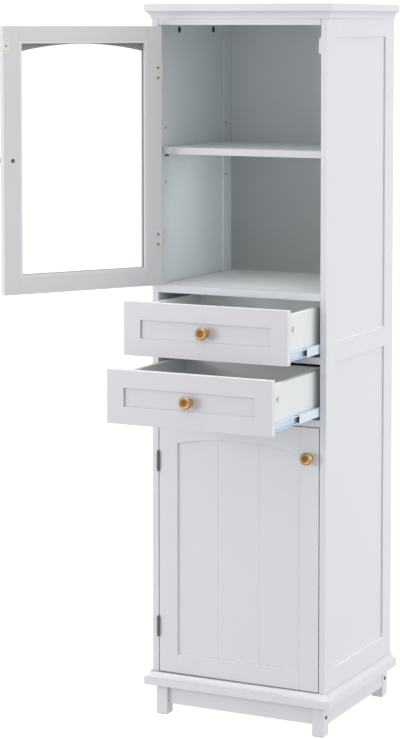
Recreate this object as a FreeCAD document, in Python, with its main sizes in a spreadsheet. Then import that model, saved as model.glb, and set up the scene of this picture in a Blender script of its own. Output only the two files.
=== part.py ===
"""Tall bathroom cabinet: glazed door over open shelves, two drawers and a panelled lower door.

Frame: X to the right, the front faces -Y, Z up.  The origin lies on the floor, under the middle of
the carcass.  All sizes are millimetres.  The cabinet stands as it is shown: the glazed door is
open, both drawers are drawn out and the lower door is shut.
"""
import FreeCAD, Part
import math
import os
import re

import Sketcher

# ----------------------------------------------------------------------------------------------
# Driving dimensions, one spreadsheet cell each
# ----------------------------------------------------------------------------------------------
SIZES = {
    # carcass
    "body_width": 420.0,
    "body_depth": 378.0,
    "side_thickness": 15.0,
    "board_thickness": 15.0,
    "floor_thickness": 16.0,
    "top_board_thickness": 16.0,
    "bottom_board_thickness": 12.0,
    "plinth_board_thickness": 17.0,
    "head_rail_height": 30.0,
    "head_rail_gap": 0.8,
    "divider_rail_depth": 60.0,
    "back_thickness": 5.0,
    "back_inset": 3.0,
    # height of each opening in the front
    "lower_opening": 581.0,
    "drawer_opening": 121.0,
    "upper_opening": 573.0,
    # frame and panel sides
    "side_stile_width": 49.0,
    "side_top_rail_height": 56.0,
    "side_middle_rail_height": 45.0,
    "side_bottom_rail_height": 60.0,
    "side_panel_thickness": 6.0,
    "groove_depth": 6.0,
    "groove_clearance": 0.2,
    # mouldings
    "crown_projection": 13.0,
    "crown_cove_height": 16.0,
    "plinth_projection": 15.0,
    "plinth_cove_height": 12.0,
    "cove_start": 2.0,
    "plinth_ledge": 5.0,
    "moulding_reveal": 1.0,
    # legs and aprons
    "leg_height": 70.0,
    "leg_width": 27.0,
    "leg_inset": 6.0,
    "leg_chamfer": 3.0,
    "apron_clearance_from_floor": 25.0,
    "apron_thickness": 15.0,
    "front_apron_setback": 9.0,
    "side_apron_setback": 1.0,
    # shelves and their pins
    "shelf_thickness": 15.0,
    "shelf_front_setback": 19.0,
    "shelf_end_gap": 2.0,
    "shelf_back_gap": 1.0,
    "upper_shelf_height": 289.0,
    "lower_shelf_height": 280.0,
    "pin_diameter": 5.0,
    "pin_length": 16.0,
    "pin_hole_depth": 9.0,
    "pin_hole_clearance": 0.1,
    "pin_collar_diameter": 8.0,
    "pin_collar_thickness": 1.5,
    "pin_setback": 37.0,
    "pin_pitch": 60.0,
    # cam locks that tie the boards together
    "cam_diameter": 15.0,
    "cam_depth": 10.0,
    "cam_recess": 1.0,
    "cam_clearance": 0.1,
    "cam_slot_width": 2.5,
    "cam_slot_depth": 2.0,
    "top_cam_drop": 40.0,
    "top_cam_offset": 86.0,
    "drawer_cam_setback": 34.0,
    "drawer_cam_drop": 32.5,
    # doors
    "door_gap": 2.0,
    "door_thickness": 16.0,
    "door_stile_width": 44.0,
    "door_lip_width": 7.0,
    "door_lip_thickness": 6.0,
    "door_bottom_rail_height": 42.0,
    "door_crown_height": 38.0,
    "lower_crown_height": 44.0,
    "arch_rise": 16.0,
    "glass_thickness": 4.0,
    "glass_clearance": 1.0,
    "bead_width": 6.0,
    "panel_groove_width": 3.0,
    "panel_groove_depth": 1.5,
    "panel_clearance": 0.3,
    "upper_door_angle": 122.0,
    # hinges
    "hinge_height": 38.0,
    "hinge_setback": 102.0,
    "hinge_offset": 3.5,
    "knuckle_diameter": 6.4,
    "knuckle_length": 13.0,
    "knuckle_clearance": 0.25,
    "hinge_pin_diameter": 3.0,
    "hinge_pin_clearance": 0.05,
    "finial_diameter": 5.2,
    "leaf_thickness": 0.8,
    "leaf_width": 20.0,
    "frame_leaf_width": 26.0,
    "leaf_screw_spacing": 22.0,
    # screws
    "screw_diameter": 3.2,
    "screw_length": 11.0,
    "screw_head_diameter": 6.4,
    "screw_head_height": 1.0,
    "screw_clearance": 0.1,
    "leg_screw_head_diameter": 9.0,
    "leg_screw_height": 42.5,
    "leg_screw_length": 42.0,
    "blind_gap": 1.0,
    # knobs
    "knob_diameter": 28.0,
    "knob_length": 25.0,
    "knob_base_diameter": 18.0,
    "knob_base_thickness": 2.0,
    "knob_neck_diameter": 11.0,
    "knob_neck_length": 9.0,
    "knob_rim_height": 17.0,
    "knob_screw_diameter": 4.0,
    "knob_screw_engagement": 11.0,
    "knob_screw_head_diameter": 9.0,
    "knob_screw_head_height": 2.0,
    "knob_screw_sink": 9.0,
    "knob_screw_sink_diameter": 9.6,
    "lower_knob_drop": 65.0,
    # magnetic catches and their strike plates
    "catch_drop": 42.0,
    "catch_height": 34.0,
    "catch_width": 13.0,
    "catch_depth": 14.0,
    "catch_flange": 2.0,
    "catch_flange_reach": 6.0,
    "strike_width": 12.0,
    "strike_height": 34.0,
    "strike_thickness": 1.0,
    "strike_edge_gap": 0.5,
    "strike_clearance": 0.3,
    "strike_screw_head_diameter": 5.0,
    "strike_dimple_diameter": 2.5,
    "strike_dimple_offset": 11.0,
    # drawers
    "drawer_gap": 2.5,
    "drawer_side_gap": 2.0,
    "drawer_front_thickness": 16.0,
    "drawer_front_stile": 40.0,
    "drawer_front_rail": 38.0,
    "drawer_front_recess": 5.0,
    "drawer_box_length": 322.0,
    "drawer_box_height": 95.0,
    "drawer_box_lift": 7.5,
    "drawer_back_drop": 4.0,
    "drawer_wall": 12.0,
    "drawer_bottom_thickness": 5.0,
    "drawer_bottom_lift": 6.0,
    "drawer_bottom_groove": 5.0,
    "upper_drawer_pull": 164.0,
    "lower_drawer_pull": 240.0,
    # drawer slides
    "slide_length": 300.0,
    "slide_setback": 2.0,
    "slide_width": 12.5,
    "slide_height": 22.0,
    "slide_sheet": 1.2,
    "slide_gap": 0.3,
    "slide_flange": 9.0,
    "slide_hole_diameter": 4.5,
    "slide_hole_setback": 72.0,
    "slide_hole_pitch": 20.0,
}

# ----------------------------------------------------------------------------------------------
# Places that follow from the driving dimensions
# ----------------------------------------------------------------------------------------------
DERIVED = {
    "half_width": "body_width / 2",
    "half_depth": "body_depth / 2",
    "inner_half": "half_width - side_thickness",
    "inner_width": "2 * inner_half",
    "back_y": "half_depth - back_inset - back_thickness",
    "inner_depth": "back_y + half_depth",
    # levels, from the floor up
    "plinth_top": "leg_height + plinth_board_thickness",
    "bottom_top": "plinth_top + bottom_board_thickness",
    "deck_z": "bottom_top + lower_opening",
    "deck_top": "deck_z + board_thickness",
    "divider_z": "deck_top + drawer_opening",
    "divider_top": "divider_z + board_thickness",
    "floor_z": "divider_top + drawer_opening",
    "floor_top": "floor_z + floor_thickness",
    "head_z": "floor_top + upper_opening",
    "top_z": "head_z + head_rail_height",
    "side_height": "top_z - plinth_top",
    "side_rail_length": "body_depth - 2 * side_stile_width",
    "crown_reach": "crown_projection - moulding_reveal",
    "crown_radius": "0.85 * sqrt((crown_reach - cove_start)^2 + crown_cove_height^2)",
    "plinth_reach": "plinth_projection - moulding_reveal",
    "plinth_radius": "0.8 * sqrt((plinth_reach - plinth_ledge)^2 + plinth_cove_height^2)",
    "apron_start": "leg_inset + leg_width",
    "top_rail_z": "top_z - side_top_rail_height",
    "middle_rail_top": "divider_z + side_middle_rail_height",
    "bottom_rail_top": "plinth_top + side_bottom_rail_height",
    # shelves
    "upper_shelf_z": "floor_top + upper_shelf_height",
    "lower_shelf_z": "bottom_top + lower_shelf_height",
    "shelf_length": "inner_width - 2 * shelf_end_gap",
    "shelf_depth": "inner_depth - shelf_front_setback - shelf_back_gap",
    # doors, in the hinge frame whose origin is on the hinge axis at the door's lower edge
    "hinge_x": "door_gap / 2 - inner_half",
    "hinge_y": "-half_depth - hinge_offset",
    "door_x": "door_gap / 2",
    "door_face": "hinge_offset",
    "door_back": "hinge_offset + door_thickness",
    "door_lip_back": "hinge_offset + door_lip_thickness",
    "door_width": "inner_width - 2 * door_gap",
    "upper_door_height": "upper_opening - 2 * door_gap",
    "lower_door_height": "lower_opening - 2 * door_gap",
    "upper_door_z": "floor_top + door_gap",
    "lower_door_z": "bottom_top + door_gap",
    "rabbet_depth": "door_thickness - door_lip_thickness",
    "rabbet_edge": "door_stile_width - door_lip_width",
    "rail_length": "door_width - 2 * door_stile_width",
    "rabbet_length": "door_width - 2 * rabbet_edge",
    "arch_radius": "(rail_length^2 / 4 + arch_rise^2) / (2 * arch_rise)",
    "bottom_rabbet": "door_bottom_rail_height - door_lip_width",
    "knob_x": "door_x + door_width - door_stile_width / 2",
    "panel_width": "rabbet_length - 2 * panel_clearance",
    "panel_opening": "lower_door_height - bottom_rabbet - lower_crown_height + door_lip_width",
    # screws and knobs
    "screw_shank": "screw_length - blind_gap",
    "knob_shoulder": "knob_base_thickness + knob_neck_length",
    "knob_dome": "knob_length - knob_rim_height",
    "knob_dome_radius": "(knob_diameter^2 / 4 + knob_dome^2) / (2 * knob_dome)",
    # hinges
    "upper_hinge_low": "hinge_setback",
    "upper_hinge_high": "upper_door_height - hinge_setback",
    "lower_hinge_low": "hinge_setback",
    "lower_hinge_high": "lower_door_height - hinge_setback",
    # catches
    "catch_y": "-half_depth + door_thickness + strike_thickness + strike_clearance",
    "strike_x": "door_x + door_width - strike_edge_gap - strike_width",
    "strike_centre_x": "strike_x + strike_width / 2",
    "strike_shank": "screw_length - strike_thickness",
    # drawers, in the frame whose origin is the lower middle of the front's outer face
    "drawer_front_width": "inner_width - 2 * drawer_side_gap",
    "drawer_front_height": "drawer_opening - 2 * drawer_gap",
    "upper_drawer_z": "divider_top + drawer_gap",
    "lower_drawer_z": "deck_top + drawer_gap",
    "box_half": "inner_half - slide_width",
    "box_inner_half": "box_half - drawer_wall",
    "box_top": "drawer_box_lift + drawer_box_height",
    "box_end": "drawer_front_thickness + drawer_box_length",
    "drawer_bottom_z": "drawer_box_lift + drawer_bottom_lift",
    "drawer_cam_y": "drawer_front_thickness + drawer_cam_setback",
    "drawer_cam_z": "box_top - drawer_cam_drop",
    # slides: each member nests in the one outside it
    "slide_y": "drawer_front_thickness + slide_setback",
    "middle_member_height": "slide_height - 2 * slide_sheet - 2 * slide_gap",
    "inner_member_height": "middle_member_height - 2 * slide_sheet - 2 * slide_gap",
    "slide_centre_z": "drawer_box_lift + inner_member_height / 2",
    "middle_member_x": "slide_sheet + slide_gap",
    "inner_member_x": "middle_member_x + slide_sheet + slide_gap",
}

document = FreeCAD.newDocument("tall_bathroom_cabinet")
nodes = []


# ----------------------------------------------------------------------------------------------
# Spreadsheet, expressions and small builders
# ----------------------------------------------------------------------------------------------
def make_sheet():
    """Write every driving dimension into the spreadsheet under its alias."""
    sheet = document.addObject("Spreadsheet::Sheet", "Sizes")
    for row, (alias, value) in enumerate(SIZES.items(), start=1):
        sheet.set(f"A{row}", alias)
        sheet.set(f"B{row}", str(value))
        sheet.setAlias(f"B{row}", alias)
    document.recompute()
    return sheet


def full(text):
    """Expand derived names and point every alias at the spreadsheet."""

    def swap(match):
        word = match.group(0)
        if word in DERIVED:
            return f"({full(DERIVED[word])})"
        return f"Sizes.{word}" if word in SIZES else word

    return re.sub(r"[a-z][a-z_]*", swap, str(text))


def value_of(text):
    """Number that an expression has now."""
    return float(sizes.evalExpression(full(text)))


def bind(item, **expressions):
    """Bind properties to expressions; a double underscore in a name stands for a dot."""
    for name, text in expressions.items():
        item.setExpression(name.replace("__", "."), full(text))


def place(item, x="0", y="0", z="0", angle=None, axis=FreeCAD.Vector(0, 0, 1)):
    """Bind an object's position, and its turn about one axis where an angle is given."""
    if angle is not None:
        item.Placement = FreeCAD.Placement(FreeCAD.Vector(), FreeCAD.Rotation(axis, 1))
        bind(item, Placement__Rotation__Angle=angle)
    bind(item, Placement__Base__x=x, Placement__Base__y=y, Placement__Base__z=z)
    return item


def board(x, y, z):
    """Rectangular board; each argument is a pair: where it starts and how long it is."""
    box = document.addObject("Part::Box", "Board")
    bind(box, Length=x[1], Width=y[1], Height=z[1])
    return place(box, x[0], y[0], z[0])


def rod(diameter, length, x="0", y="0", z="0", along="z"):
    """Cylinder that starts at a point and runs along +X, +Y or +Z."""
    cylinder = document.addObject("Part::Cylinder", "Rod")
    bind(cylinder, Radius=f"({diameter}) / 2", Height=length)
    if along == "x":
        return place(cylinder, x, y, z, "90", FreeCAD.Vector(0, 1, 0))
    if along == "y":
        return place(cylinder, x, y, z, "-90", FreeCAD.Vector(1, 0, 0))
    return place(cylinder, x, y, z)


def together(parts):
    """Several objects as one compound, without joining them."""
    compound = document.addObject("Part::Compound", "Group")
    compound.Links = parts
    return compound


def joined(*parts):
    """Several overlapping objects as one solid."""
    fusion = document.addObject("Part::MultiFuse", "Joined")
    fusion.Shapes = list(parts)
    return fusion


def cut(base, *tools):
    """A solid with other objects taken away from it."""
    result = document.addObject("Part::Cut", "Cut")
    result.Base = base
    result.Tool = tools[0] if len(tools) == 1 else together(list(tools))
    return result


def mirrored(source, normal=FreeCAD.Vector(1, 0, 0)):
    """Mirror image of an object across the middle plane of its frame."""
    mirror = document.addObject("Part::Mirroring", "Mirrored")
    mirror.Source = source
    mirror.Normal = normal
    return mirror


def node(label, *parts, frame=None):
    """Register a finished sub-part; its frame gives the place and turn of a moving body."""
    item = together(list(parts))
    item.Label = label
    if frame:
        place(item, **frame)
    nodes.append(item)
    return item


# ----------------------------------------------------------------------------------------------
# Sketched bodies
# ----------------------------------------------------------------------------------------------
def origin_plane(body, role):
    """One of a body's own origin planes."""
    return next(item for item in body.Origin.OriginFeatures if item.Role == role)


def arc_between(start, end, radius, clockwise):
    """Minor arc between two points; sketch arcs always run counter-clockwise."""
    chord = end - start
    rise = math.sqrt(radius**2 - chord.Length**2 / 4)
    left = FreeCAD.Vector(-chord.y, chord.x, 0).normalize()
    centre = (start + end) / 2 + left * (-rise if clockwise else rise)
    first, last = (end, start) if clockwise else (start, end)
    angles = [math.atan2(point.y - centre.y, point.x - centre.x) for point in (first, last)]
    circle = Part.Circle(centre, FreeCAD.Vector(0, 0, 1), radius)
    return Part.ArcOfCircle(circle, angles[0], angles[1])


def outline(body, plane, corners, offset="0"):
    """Closed sketch through corners (x, y) or (x, y, radius, turn) for an arc that ends there."""
    sketch = body.newObject("Sketcher::SketchObject", "Outline")
    sketch.AttachmentSupport = [(origin_plane(body, plane), "")]
    sketch.MapMode = "FlatFace"
    bind(sketch, AttachmentOffset__Base__z=offset)
    points = [FreeCAD.Vector(value_of(c[0]), value_of(c[1]), 0) for c in corners]
    ends = []
    for index, corner in enumerate(corners):
        start, end = points[index - 1], points[index]
        if len(corner) == 2:
            geometry = sketch.addGeometry(Part.LineSegment(start, end))
            ends.append((geometry, 1, 2))
            continue
        clockwise = corner[3] == "clockwise"
        geometry = sketch.addGeometry(arc_between(start, end, value_of(corner[2]), clockwise))
        ends.append((geometry, 2, 1) if clockwise else (geometry, 1, 2))
        name = f"radius{index}"
        sketch.addConstraint(Sketcher.Constraint("Radius", geometry, value_of(corner[2])))
        sketch.renameConstraint(sketch.ConstraintCount - 1, name)
        sketch.setExpression(f"Constraints.{name}", full(corner[2]))
    for index, corner in enumerate(corners):
        geometry, _, last = ends[index]
        following, first, _ = ends[(index + 1) % len(corners)]
        sketch.addConstraint(Sketcher.Constraint("Coincident", geometry, last, following, first))
        for axis, text in (("X", corner[0]), ("Y", corner[1])):
            if text == "0":
                line = -2 if axis == "X" else -1
                sketch.addConstraint(Sketcher.Constraint("PointOnObject", geometry, last, line))
                continue
            distance = (f"Distance{axis}", -1, 1, geometry, last, value_of(text))
            sketch.addConstraint(Sketcher.Constraint(*distance))
            name = f"corner{index}{axis}"
            sketch.renameConstraint(sketch.ConstraintCount - 1, name)
            sketch.setExpression(f"Constraints.{name}", full(text))
    return sketch


def pad(body, sketch, length, backwards=False, symmetric=False):
    """Extrude a sketch along its plane's normal."""
    feature = body.newObject("PartDesign::Pad", "Pad")
    feature.Profile = sketch
    feature.Reversed = backwards
    if symmetric:
        feature.SideType = "Symmetric"
    bind(feature, Length=length)
    return feature


def pocket(body, sketch, length, backwards=False, symmetric=False):
    """Cut a sketch into the body, against its plane's normal unless turned backwards."""
    feature = body.newObject("PartDesign::Pocket", "Pocket")
    feature.Profile = sketch
    feature.Reversed = backwards
    if symmetric:
        feature.SideType = "Symmetric"
    bind(feature, Length=length)
    return feature


def new_body(x="0", y="0", z="0", angle=None):
    """Empty body at a place."""
    return place(document.addObject("PartDesign::Body", "Body"), x, y, z, angle)


def rectangle(x, z, width, height):
    """Corners of an upright rectangle."""
    right = f"({x}) + ({width})"
    top = f"({z}) + ({height})"
    return [(x, z), (right, z), (right, top), (x, top)]


# ----------------------------------------------------------------------------------------------
# Carcass: frame and panel sides
# ----------------------------------------------------------------------------------------------
def side_panel_box(low, high, margin):
    """One side panel, or the groove it sits in: the margin is how far it goes into the frame."""
    inset = "(side_thickness - side_panel_thickness) / 2"
    return board(
        (f"inner_half + {inset}", "side_panel_thickness"),
        (f"side_stile_width - half_depth - ({margin})", f"side_rail_length + 2 * ({margin})"),
        (f"{low} - ({margin})", f"{high} - {low} + 2 * ({margin})"),
    )


def side_grooves():
    """Grooves that the two panels of the right-hand side sit in."""
    return [
        side_panel_box("middle_rail_top", "top_rail_z", "groove_depth"),
        side_panel_box("bottom_rail_top", "divider_z", "groove_depth"),
    ]


def pin_rows():
    """Heights of the shelf-pin holes: one row at each shelf, one above and one below."""
    rows = []
    for shelf in ("upper_shelf_z", "lower_shelf_z"):
        for step in ("- pin_pitch", "", "+ pin_pitch"):
            rows.append(f"{shelf} - pin_diameter / 2 {step}")
    return rows


def pin_holes(pin_y):
    """Holes for the shelf pins in one stile of the right-hand side."""
    diameter = "pin_diameter + 2 * pin_hole_clearance"
    return [rod(diameter, "pin_hole_depth", "inner_half", pin_y, z, "x") for z in pin_rows()]


def screw_bores(places, depth):
    """Bores for wood screws that go into the right-hand side from inside."""
    diameter = "screw_diameter + 2 * screw_clearance"
    return [rod(diameter, depth, "inner_half", y, z, "x") for y, z in places]


def frame_screw_places():
    """Depth and height of each screw that holds a hinge's frame leaf."""
    y = "hinge_y + door_back + leaf_thickness + frame_leaf_width / 2"
    places = []
    for door, ends in (("upper_door", ("low", "high")), ("lower_door", ("low", "high"))):
        for end in ends:
            middle = f"{door}_z + {door.split('_')[0]}_hinge_{end}"
            for sign in ("-", "+"):
                places.append((y, f"{middle} {sign} leaf_screw_spacing / 2"))
    return places


def make_stiles(with_hinges):
    """Front and back stile of the right-hand side."""
    width = ("inner_half", "side_thickness")
    upright = ("plinth_top", "side_height")
    front_tools = side_grooves() + pin_holes("pin_setback - half_depth")
    if with_hinges:
        front_tools += screw_bores(frame_screw_places(), "screw_length")
    front = cut(board(width, ("-half_depth", "side_stile_width"), upright), *front_tools)
    back_board = board(width, ("half_depth - side_stile_width", "side_stile_width"), upright)
    back = cut(back_board, *side_grooves(), *pin_holes("half_depth - pin_setback"))
    return [front, back]


def make_side_rails():
    """Top, middle and bottom rail of the right-hand side; the top one is bored for cam locks."""
    rails = []
    levels = (
        ("top_rail_z", "side_top_rail_height"),
        ("divider_z", "side_middle_rail_height"),
        ("plinth_top", "side_bottom_rail_height"),
    )
    for level in levels:
        along = ("side_stile_width - half_depth", "side_rail_length")
        rails.append(cut(board(("inner_half", "side_thickness"), along, level), *side_grooves()))
    bores = [
        rod("cam_diameter + 2 * cam_clearance", "cam_depth + cam_recess", "inner_half", y,
            "top_z - top_cam_drop", "x")
        for y in ("-top_cam_offset", "top_cam_offset")
    ]
    rails[0] = cut(rails[0], *bores)
    return rails


def make_side_panels():
    """Thin panels of the right-hand side."""
    margin = "groove_depth - groove_clearance"
    return [
        side_panel_box("middle_rail_top", "top_rail_z", margin),
        side_panel_box("bottom_rail_top", "divider_z", margin),
    ]


def make_sides():
    """Both frame and panel sides; the hinges are on the left."""
    node("right_side_stiles", *make_stiles(with_hinges=False))
    node("left_side_stiles", *[mirrored(stile) for stile in make_stiles(with_hinges=True)])
    rails = make_side_rails()
    node("right_side_rails", *rails)
    node("left_side_rails", *[mirrored(rail) for rail in rails])
    panels = make_side_panels()
    node("side_panels", *panels, *[mirrored(panel) for panel in panels])


# ----------------------------------------------------------------------------------------------
# Carcass: boards, back, mouldings and base
# ----------------------------------------------------------------------------------------------
def make_boards():
    """Boards between and over the sides."""
    between = ("-inner_half", "inner_width")
    through = ("-half_depth", "inner_depth")
    node("bottom_board", board(between, through, ("plinth_top", "bottom_board_thickness")))
    node("drawer_deck", board(between, through, ("deck_z", "board_thickness")))
    rail_depth = ("-half_depth", "divider_rail_depth")
    node("drawer_divider_rail", board(between, rail_depth, ("divider_z", "board_thickness")))
    node("compartment_floor", board(between, through, ("floor_z", "floor_thickness")))
    head_width = ("head_rail_gap - inner_half", "inner_width - 2 * head_rail_gap")
    head_depth = ("-half_depth", "board_thickness")
    node("head_rail", board(head_width, head_depth, ("head_z", "head_rail_height")))
    for label, projection, level, thickness in (
        ("top_board", "crown_projection", "top_z", "top_board_thickness"),
        ("plinth_board", "plinth_projection", "leg_height", "plinth_board_thickness"),
    ):
        width = (f"-half_width - {projection}", f"body_width + 2 * {projection}")
        depth = (f"-half_depth - {projection}", f"body_depth + {projection}")
        node(label, board(width, depth, (level, thickness)))


def make_backs():
    """Two back panels that meet behind the compartment floor."""
    between = ("-inner_half", "inner_width")
    depth = ("back_y", "back_thickness")
    joint = "floor_z + floor_thickness / 2"
    lower = board(between, depth, ("plinth_top", f"{joint} - plinth_top"))
    upper = board(between, depth, (joint, f"top_z - ({joint})"))
    node("back_panels", lower, upper)


def moulding_strip(corners, length, x, y, z, angle, start):
    """Straight moulding with one mitred end: outwards is +Y of its own frame, the mitre at +X."""
    body = new_body(x, y, z, angle)
    pad(body, outline(body, "YZ_Plane", corners, start), length)
    return body


def mitre(body, reach, projection, height):
    """Cut the +X end of a strip at 45 degrees."""
    far = f"{reach} + {projection}"
    triangle = [(reach, "0"), (far, "0"), (far, projection)]
    sketch = outline(body, "XY_Plane", triangle, height)
    return pocket(body, sketch, height)


def make_moulding(label, corners, projection, height, z):
    """Front strip and two side strips of one moulding, mitred where they meet."""
    across = f"body_width + 2 * ({projection})"
    front = moulding_strip(
        corners, across, "0", "-half_depth", z, "180", f"-half_width - ({projection})"
    )
    front_mitre = mitre(front, "half_width", projection, height)
    other = front.newObject("PartDesign::Mirrored", "OtherMitre")
    other.Originals = [front_mitre]
    other.MirrorPlane = (origin_plane(front, "YZ_Plane"), [""])
    front.Tip = other
    along = f"body_depth + ({projection})"
    side = moulding_strip(corners, along, "half_width", "0", z, "-90", "-half_depth")
    mitre(side, "half_depth", projection, height)
    node(label, front, side, mirrored(side))


def make_mouldings():
    """Cove under the top board and cove on the plinth board."""
    crown = [
        ("0", "0"),
        ("cove_start", "0"),
        ("crown_reach", "crown_cove_height", "crown_radius", "clockwise"),
        ("0", "crown_cove_height"),
    ]
    crown_z = "top_z - crown_cove_height"
    make_moulding("crown_moulding", crown, "crown_reach", "crown_cove_height", crown_z)
    plinth = [
        ("0", "0"),
        ("plinth_reach", "0"),
        ("plinth_ledge", "plinth_cove_height", "plinth_radius", "clockwise"),
        ("0", "plinth_cove_height"),
    ]
    make_moulding("plinth_moulding", plinth, "plinth_reach", "plinth_cove_height", "plinth_top")


def leg_screw_bore(length):
    """Bore for the screw of the right front leg, from the leg's outer face inwards."""
    return rod("screw_diameter + 2 * screw_clearance", length,
               f"half_width - leg_inset - ({length})", "leg_inset - half_depth + leg_width / 2",
               "leg_screw_height", "x")


def make_leg():
    """Right front leg with chamfered foot and the bore for its side screw."""
    body = new_body("half_width - leg_inset - leg_width", "leg_inset - half_depth")
    square = outline(body, "XY_Plane", rectangle("0", "0", "leg_width", "leg_width"))
    block = pad(body, square, "leg_height")
    document.recompute()
    foot = [
        f"Edge{index}"
        for index, edge in enumerate(block.Shape.Edges, start=1)
        if all(abs(vertex.Z) < 1e-6 for vertex in edge.Vertexes)
    ]
    chamfer = body.newObject("PartDesign::Chamfer", "Foot")
    chamfer.Base = (block, foot)
    bind(chamfer, Size="leg_chamfer")
    return cut(body, leg_screw_bore("leg_width"))


def mirrored_four(part):
    """A part and its three mirror images, to the left, to the back and diagonally."""
    left = mirrored(part)
    back = FreeCAD.Vector(0, 1, 0)
    return [part, left, mirrored(part, back), mirrored(left, back)]


def make_base():
    """Legs, aprons and the screws in the legs' outer faces."""
    node("legs", *mirrored_four(make_leg()))
    height = ("apron_clearance_from_floor", "leg_height - apron_clearance_from_floor")
    across = board(
        ("apron_start - half_width", "body_width - 2 * apron_start"),
        ("leg_inset + front_apron_setback - half_depth", "apron_thickness"),
        height,
    )
    bore = leg_screw_bore("leg_screw_length + blind_gap")
    front = cut(across, bore, mirrored(bore))
    node("cross_aprons", front, mirrored(front, FreeCAD.Vector(0, 1, 0)))
    side = board(
        ("half_width - leg_inset - side_apron_setback - apron_thickness", "apron_thickness"),
        ("apron_start - half_depth", "body_depth - 2 * apron_start"),
        height,
    )
    node("side_aprons", side, mirrored(side))
    y = "leg_inset + leg_width / 2 - half_depth"
    head = rod("leg_screw_head_diameter", "screw_head_height", "half_width - leg_inset", y,
               "leg_screw_height", "x")
    shank = rod("screw_diameter", "leg_screw_length",
                "half_width - leg_inset - leg_screw_length", y, "leg_screw_height", "x")
    node("leg_screws", *mirrored_four(joined(head, shank)))


# ----------------------------------------------------------------------------------------------
# Shelves, pins, cam locks and catches
# ----------------------------------------------------------------------------------------------
def make_shelves():
    """The shelf behind the glass door, one in the lower compartment, and their pins."""
    width = ("shelf_end_gap - inner_half", "shelf_length")
    depth = ("shelf_front_setback - half_depth", "shelf_depth")
    pins = []
    for label, level in (("adjustable_shelf", "upper_shelf_z"), ("lower_shelf", "lower_shelf_z")):
        node(label, board(width, depth, (level, "shelf_thickness")))
        for y in ("pin_setback - half_depth", "half_depth - pin_setback"):
            z = f"{level} - pin_diameter / 2"
            inner = "inner_half + pin_hole_depth - blind_gap"
            shank = rod("pin_diameter", "pin_length", f"{inner} - pin_length", y, z, "x")
            collar = rod("pin_collar_diameter", "pin_collar_thickness",
                         "inner_half - pin_collar_thickness", y, z, "x")
            pin = joined(shank, collar)
            pins += [pin, mirrored(pin)]
    node("shelf_pins", *pins)


def cam_lock(face, y, z):
    """Cam lock sunk in a face that looks towards -X, with its screwdriver slot."""
    start = f"({face}) + cam_recess"
    barrel = rod("cam_diameter", "cam_depth", start, y, z, "x")
    slot = board(
        (start, "cam_slot_depth"),
        (f"({y}) - cam_slot_width / 2", "cam_slot_width"),
        (f"({z}) - cam_diameter * 0.4", "cam_diameter * 0.8"),
    )
    return cut(barrel, slot)


def make_cam_locks():
    """Cam locks in the sides' top rails that hold the top board."""
    z = "top_z - top_cam_drop"
    locks = [cam_lock("inner_half", y, z) for y in ("-top_cam_offset", "top_cam_offset")]
    node("cam_locks", *locks, *[mirrored(lock) for lock in locks])


def make_catches():
    """Magnetic catches on the right-hand side, just behind each closed door."""
    catches = []
    for door in ("upper_door", "lower_door"):
        middle = f"{door}_z + {door}_height - catch_drop"
        case = board(
            ("inner_half - catch_width", "catch_width"),
            ("catch_y", "catch_depth"),
            (f"{middle} - catch_height / 2", "catch_height"),
        )
        flange = board(
            ("inner_half - catch_flange", "catch_flange"),
            ("catch_y", "catch_depth + catch_flange_reach"),
            (f"{middle} - catch_height / 2", "catch_height"),
        )
        catches.append(joined(case, flange))
    node("magnetic_catches", *catches)


# ----------------------------------------------------------------------------------------------
# Hinges
# ----------------------------------------------------------------------------------------------
HINGES = {"upper_door": ("upper_hinge_low", "upper_hinge_high"),
          "lower_door": ("lower_hinge_low", "lower_hinge_high")}


def knuckle(diameter, length, z):
    """Barrel on the hinge axis, centred at a height."""
    return rod(diameter, length, z=f"({z}) - ({length}) / 2")


def middle_barrel(diameter, extra, z):
    """The knuckle in the middle of the hinge, which belongs to the door leaf."""
    return knuckle(diameter, f"knuckle_length + 2 * ({extra})", z)


def outer_barrels(diameter, extra, z):
    """The two knuckles at the ends of the hinge, which belong to the frame leaf."""
    length = "(hinge_height - knuckle_length) / 2"
    middle = f"(knuckle_length + {length}) / 2"
    grown = f"{length} + 2 * ({extra})"
    return [knuckle(diameter, grown, f"({z}) {sign} {middle}") for sign in ("-", "+")]


def frame_leaf(z):
    """Leaf on the side of the carcass, in the hinge frame."""
    tall = (f"({z}) - hinge_height / 2", "hinge_height")
    length = "door_back + leaf_thickness + frame_leaf_width"
    plate = board(("-door_gap / 2", "leaf_thickness"), ("0", length), tall)
    grown = "knuckle_diameter + 2 * knuckle_clearance"
    plate = cut(plate, middle_barrel(grown, "knuckle_clearance", z))
    barrels = outer_barrels("knuckle_diameter", "-knuckle_clearance / 2", z)
    bores = [knuckle("hinge_pin_diameter + 2 * hinge_pin_clearance", "2 * hinge_height", z)]
    for sign in ("-", "+"):
        y = "door_back + leaf_thickness + frame_leaf_width / 2"
        bores.append(rod("screw_diameter + 2 * screw_clearance", "door_gap", "-door_gap", y,
                         f"({z}) {sign} leaf_screw_spacing / 2", "x"))
    return cut(joined(plate, *barrels), *bores)


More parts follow.
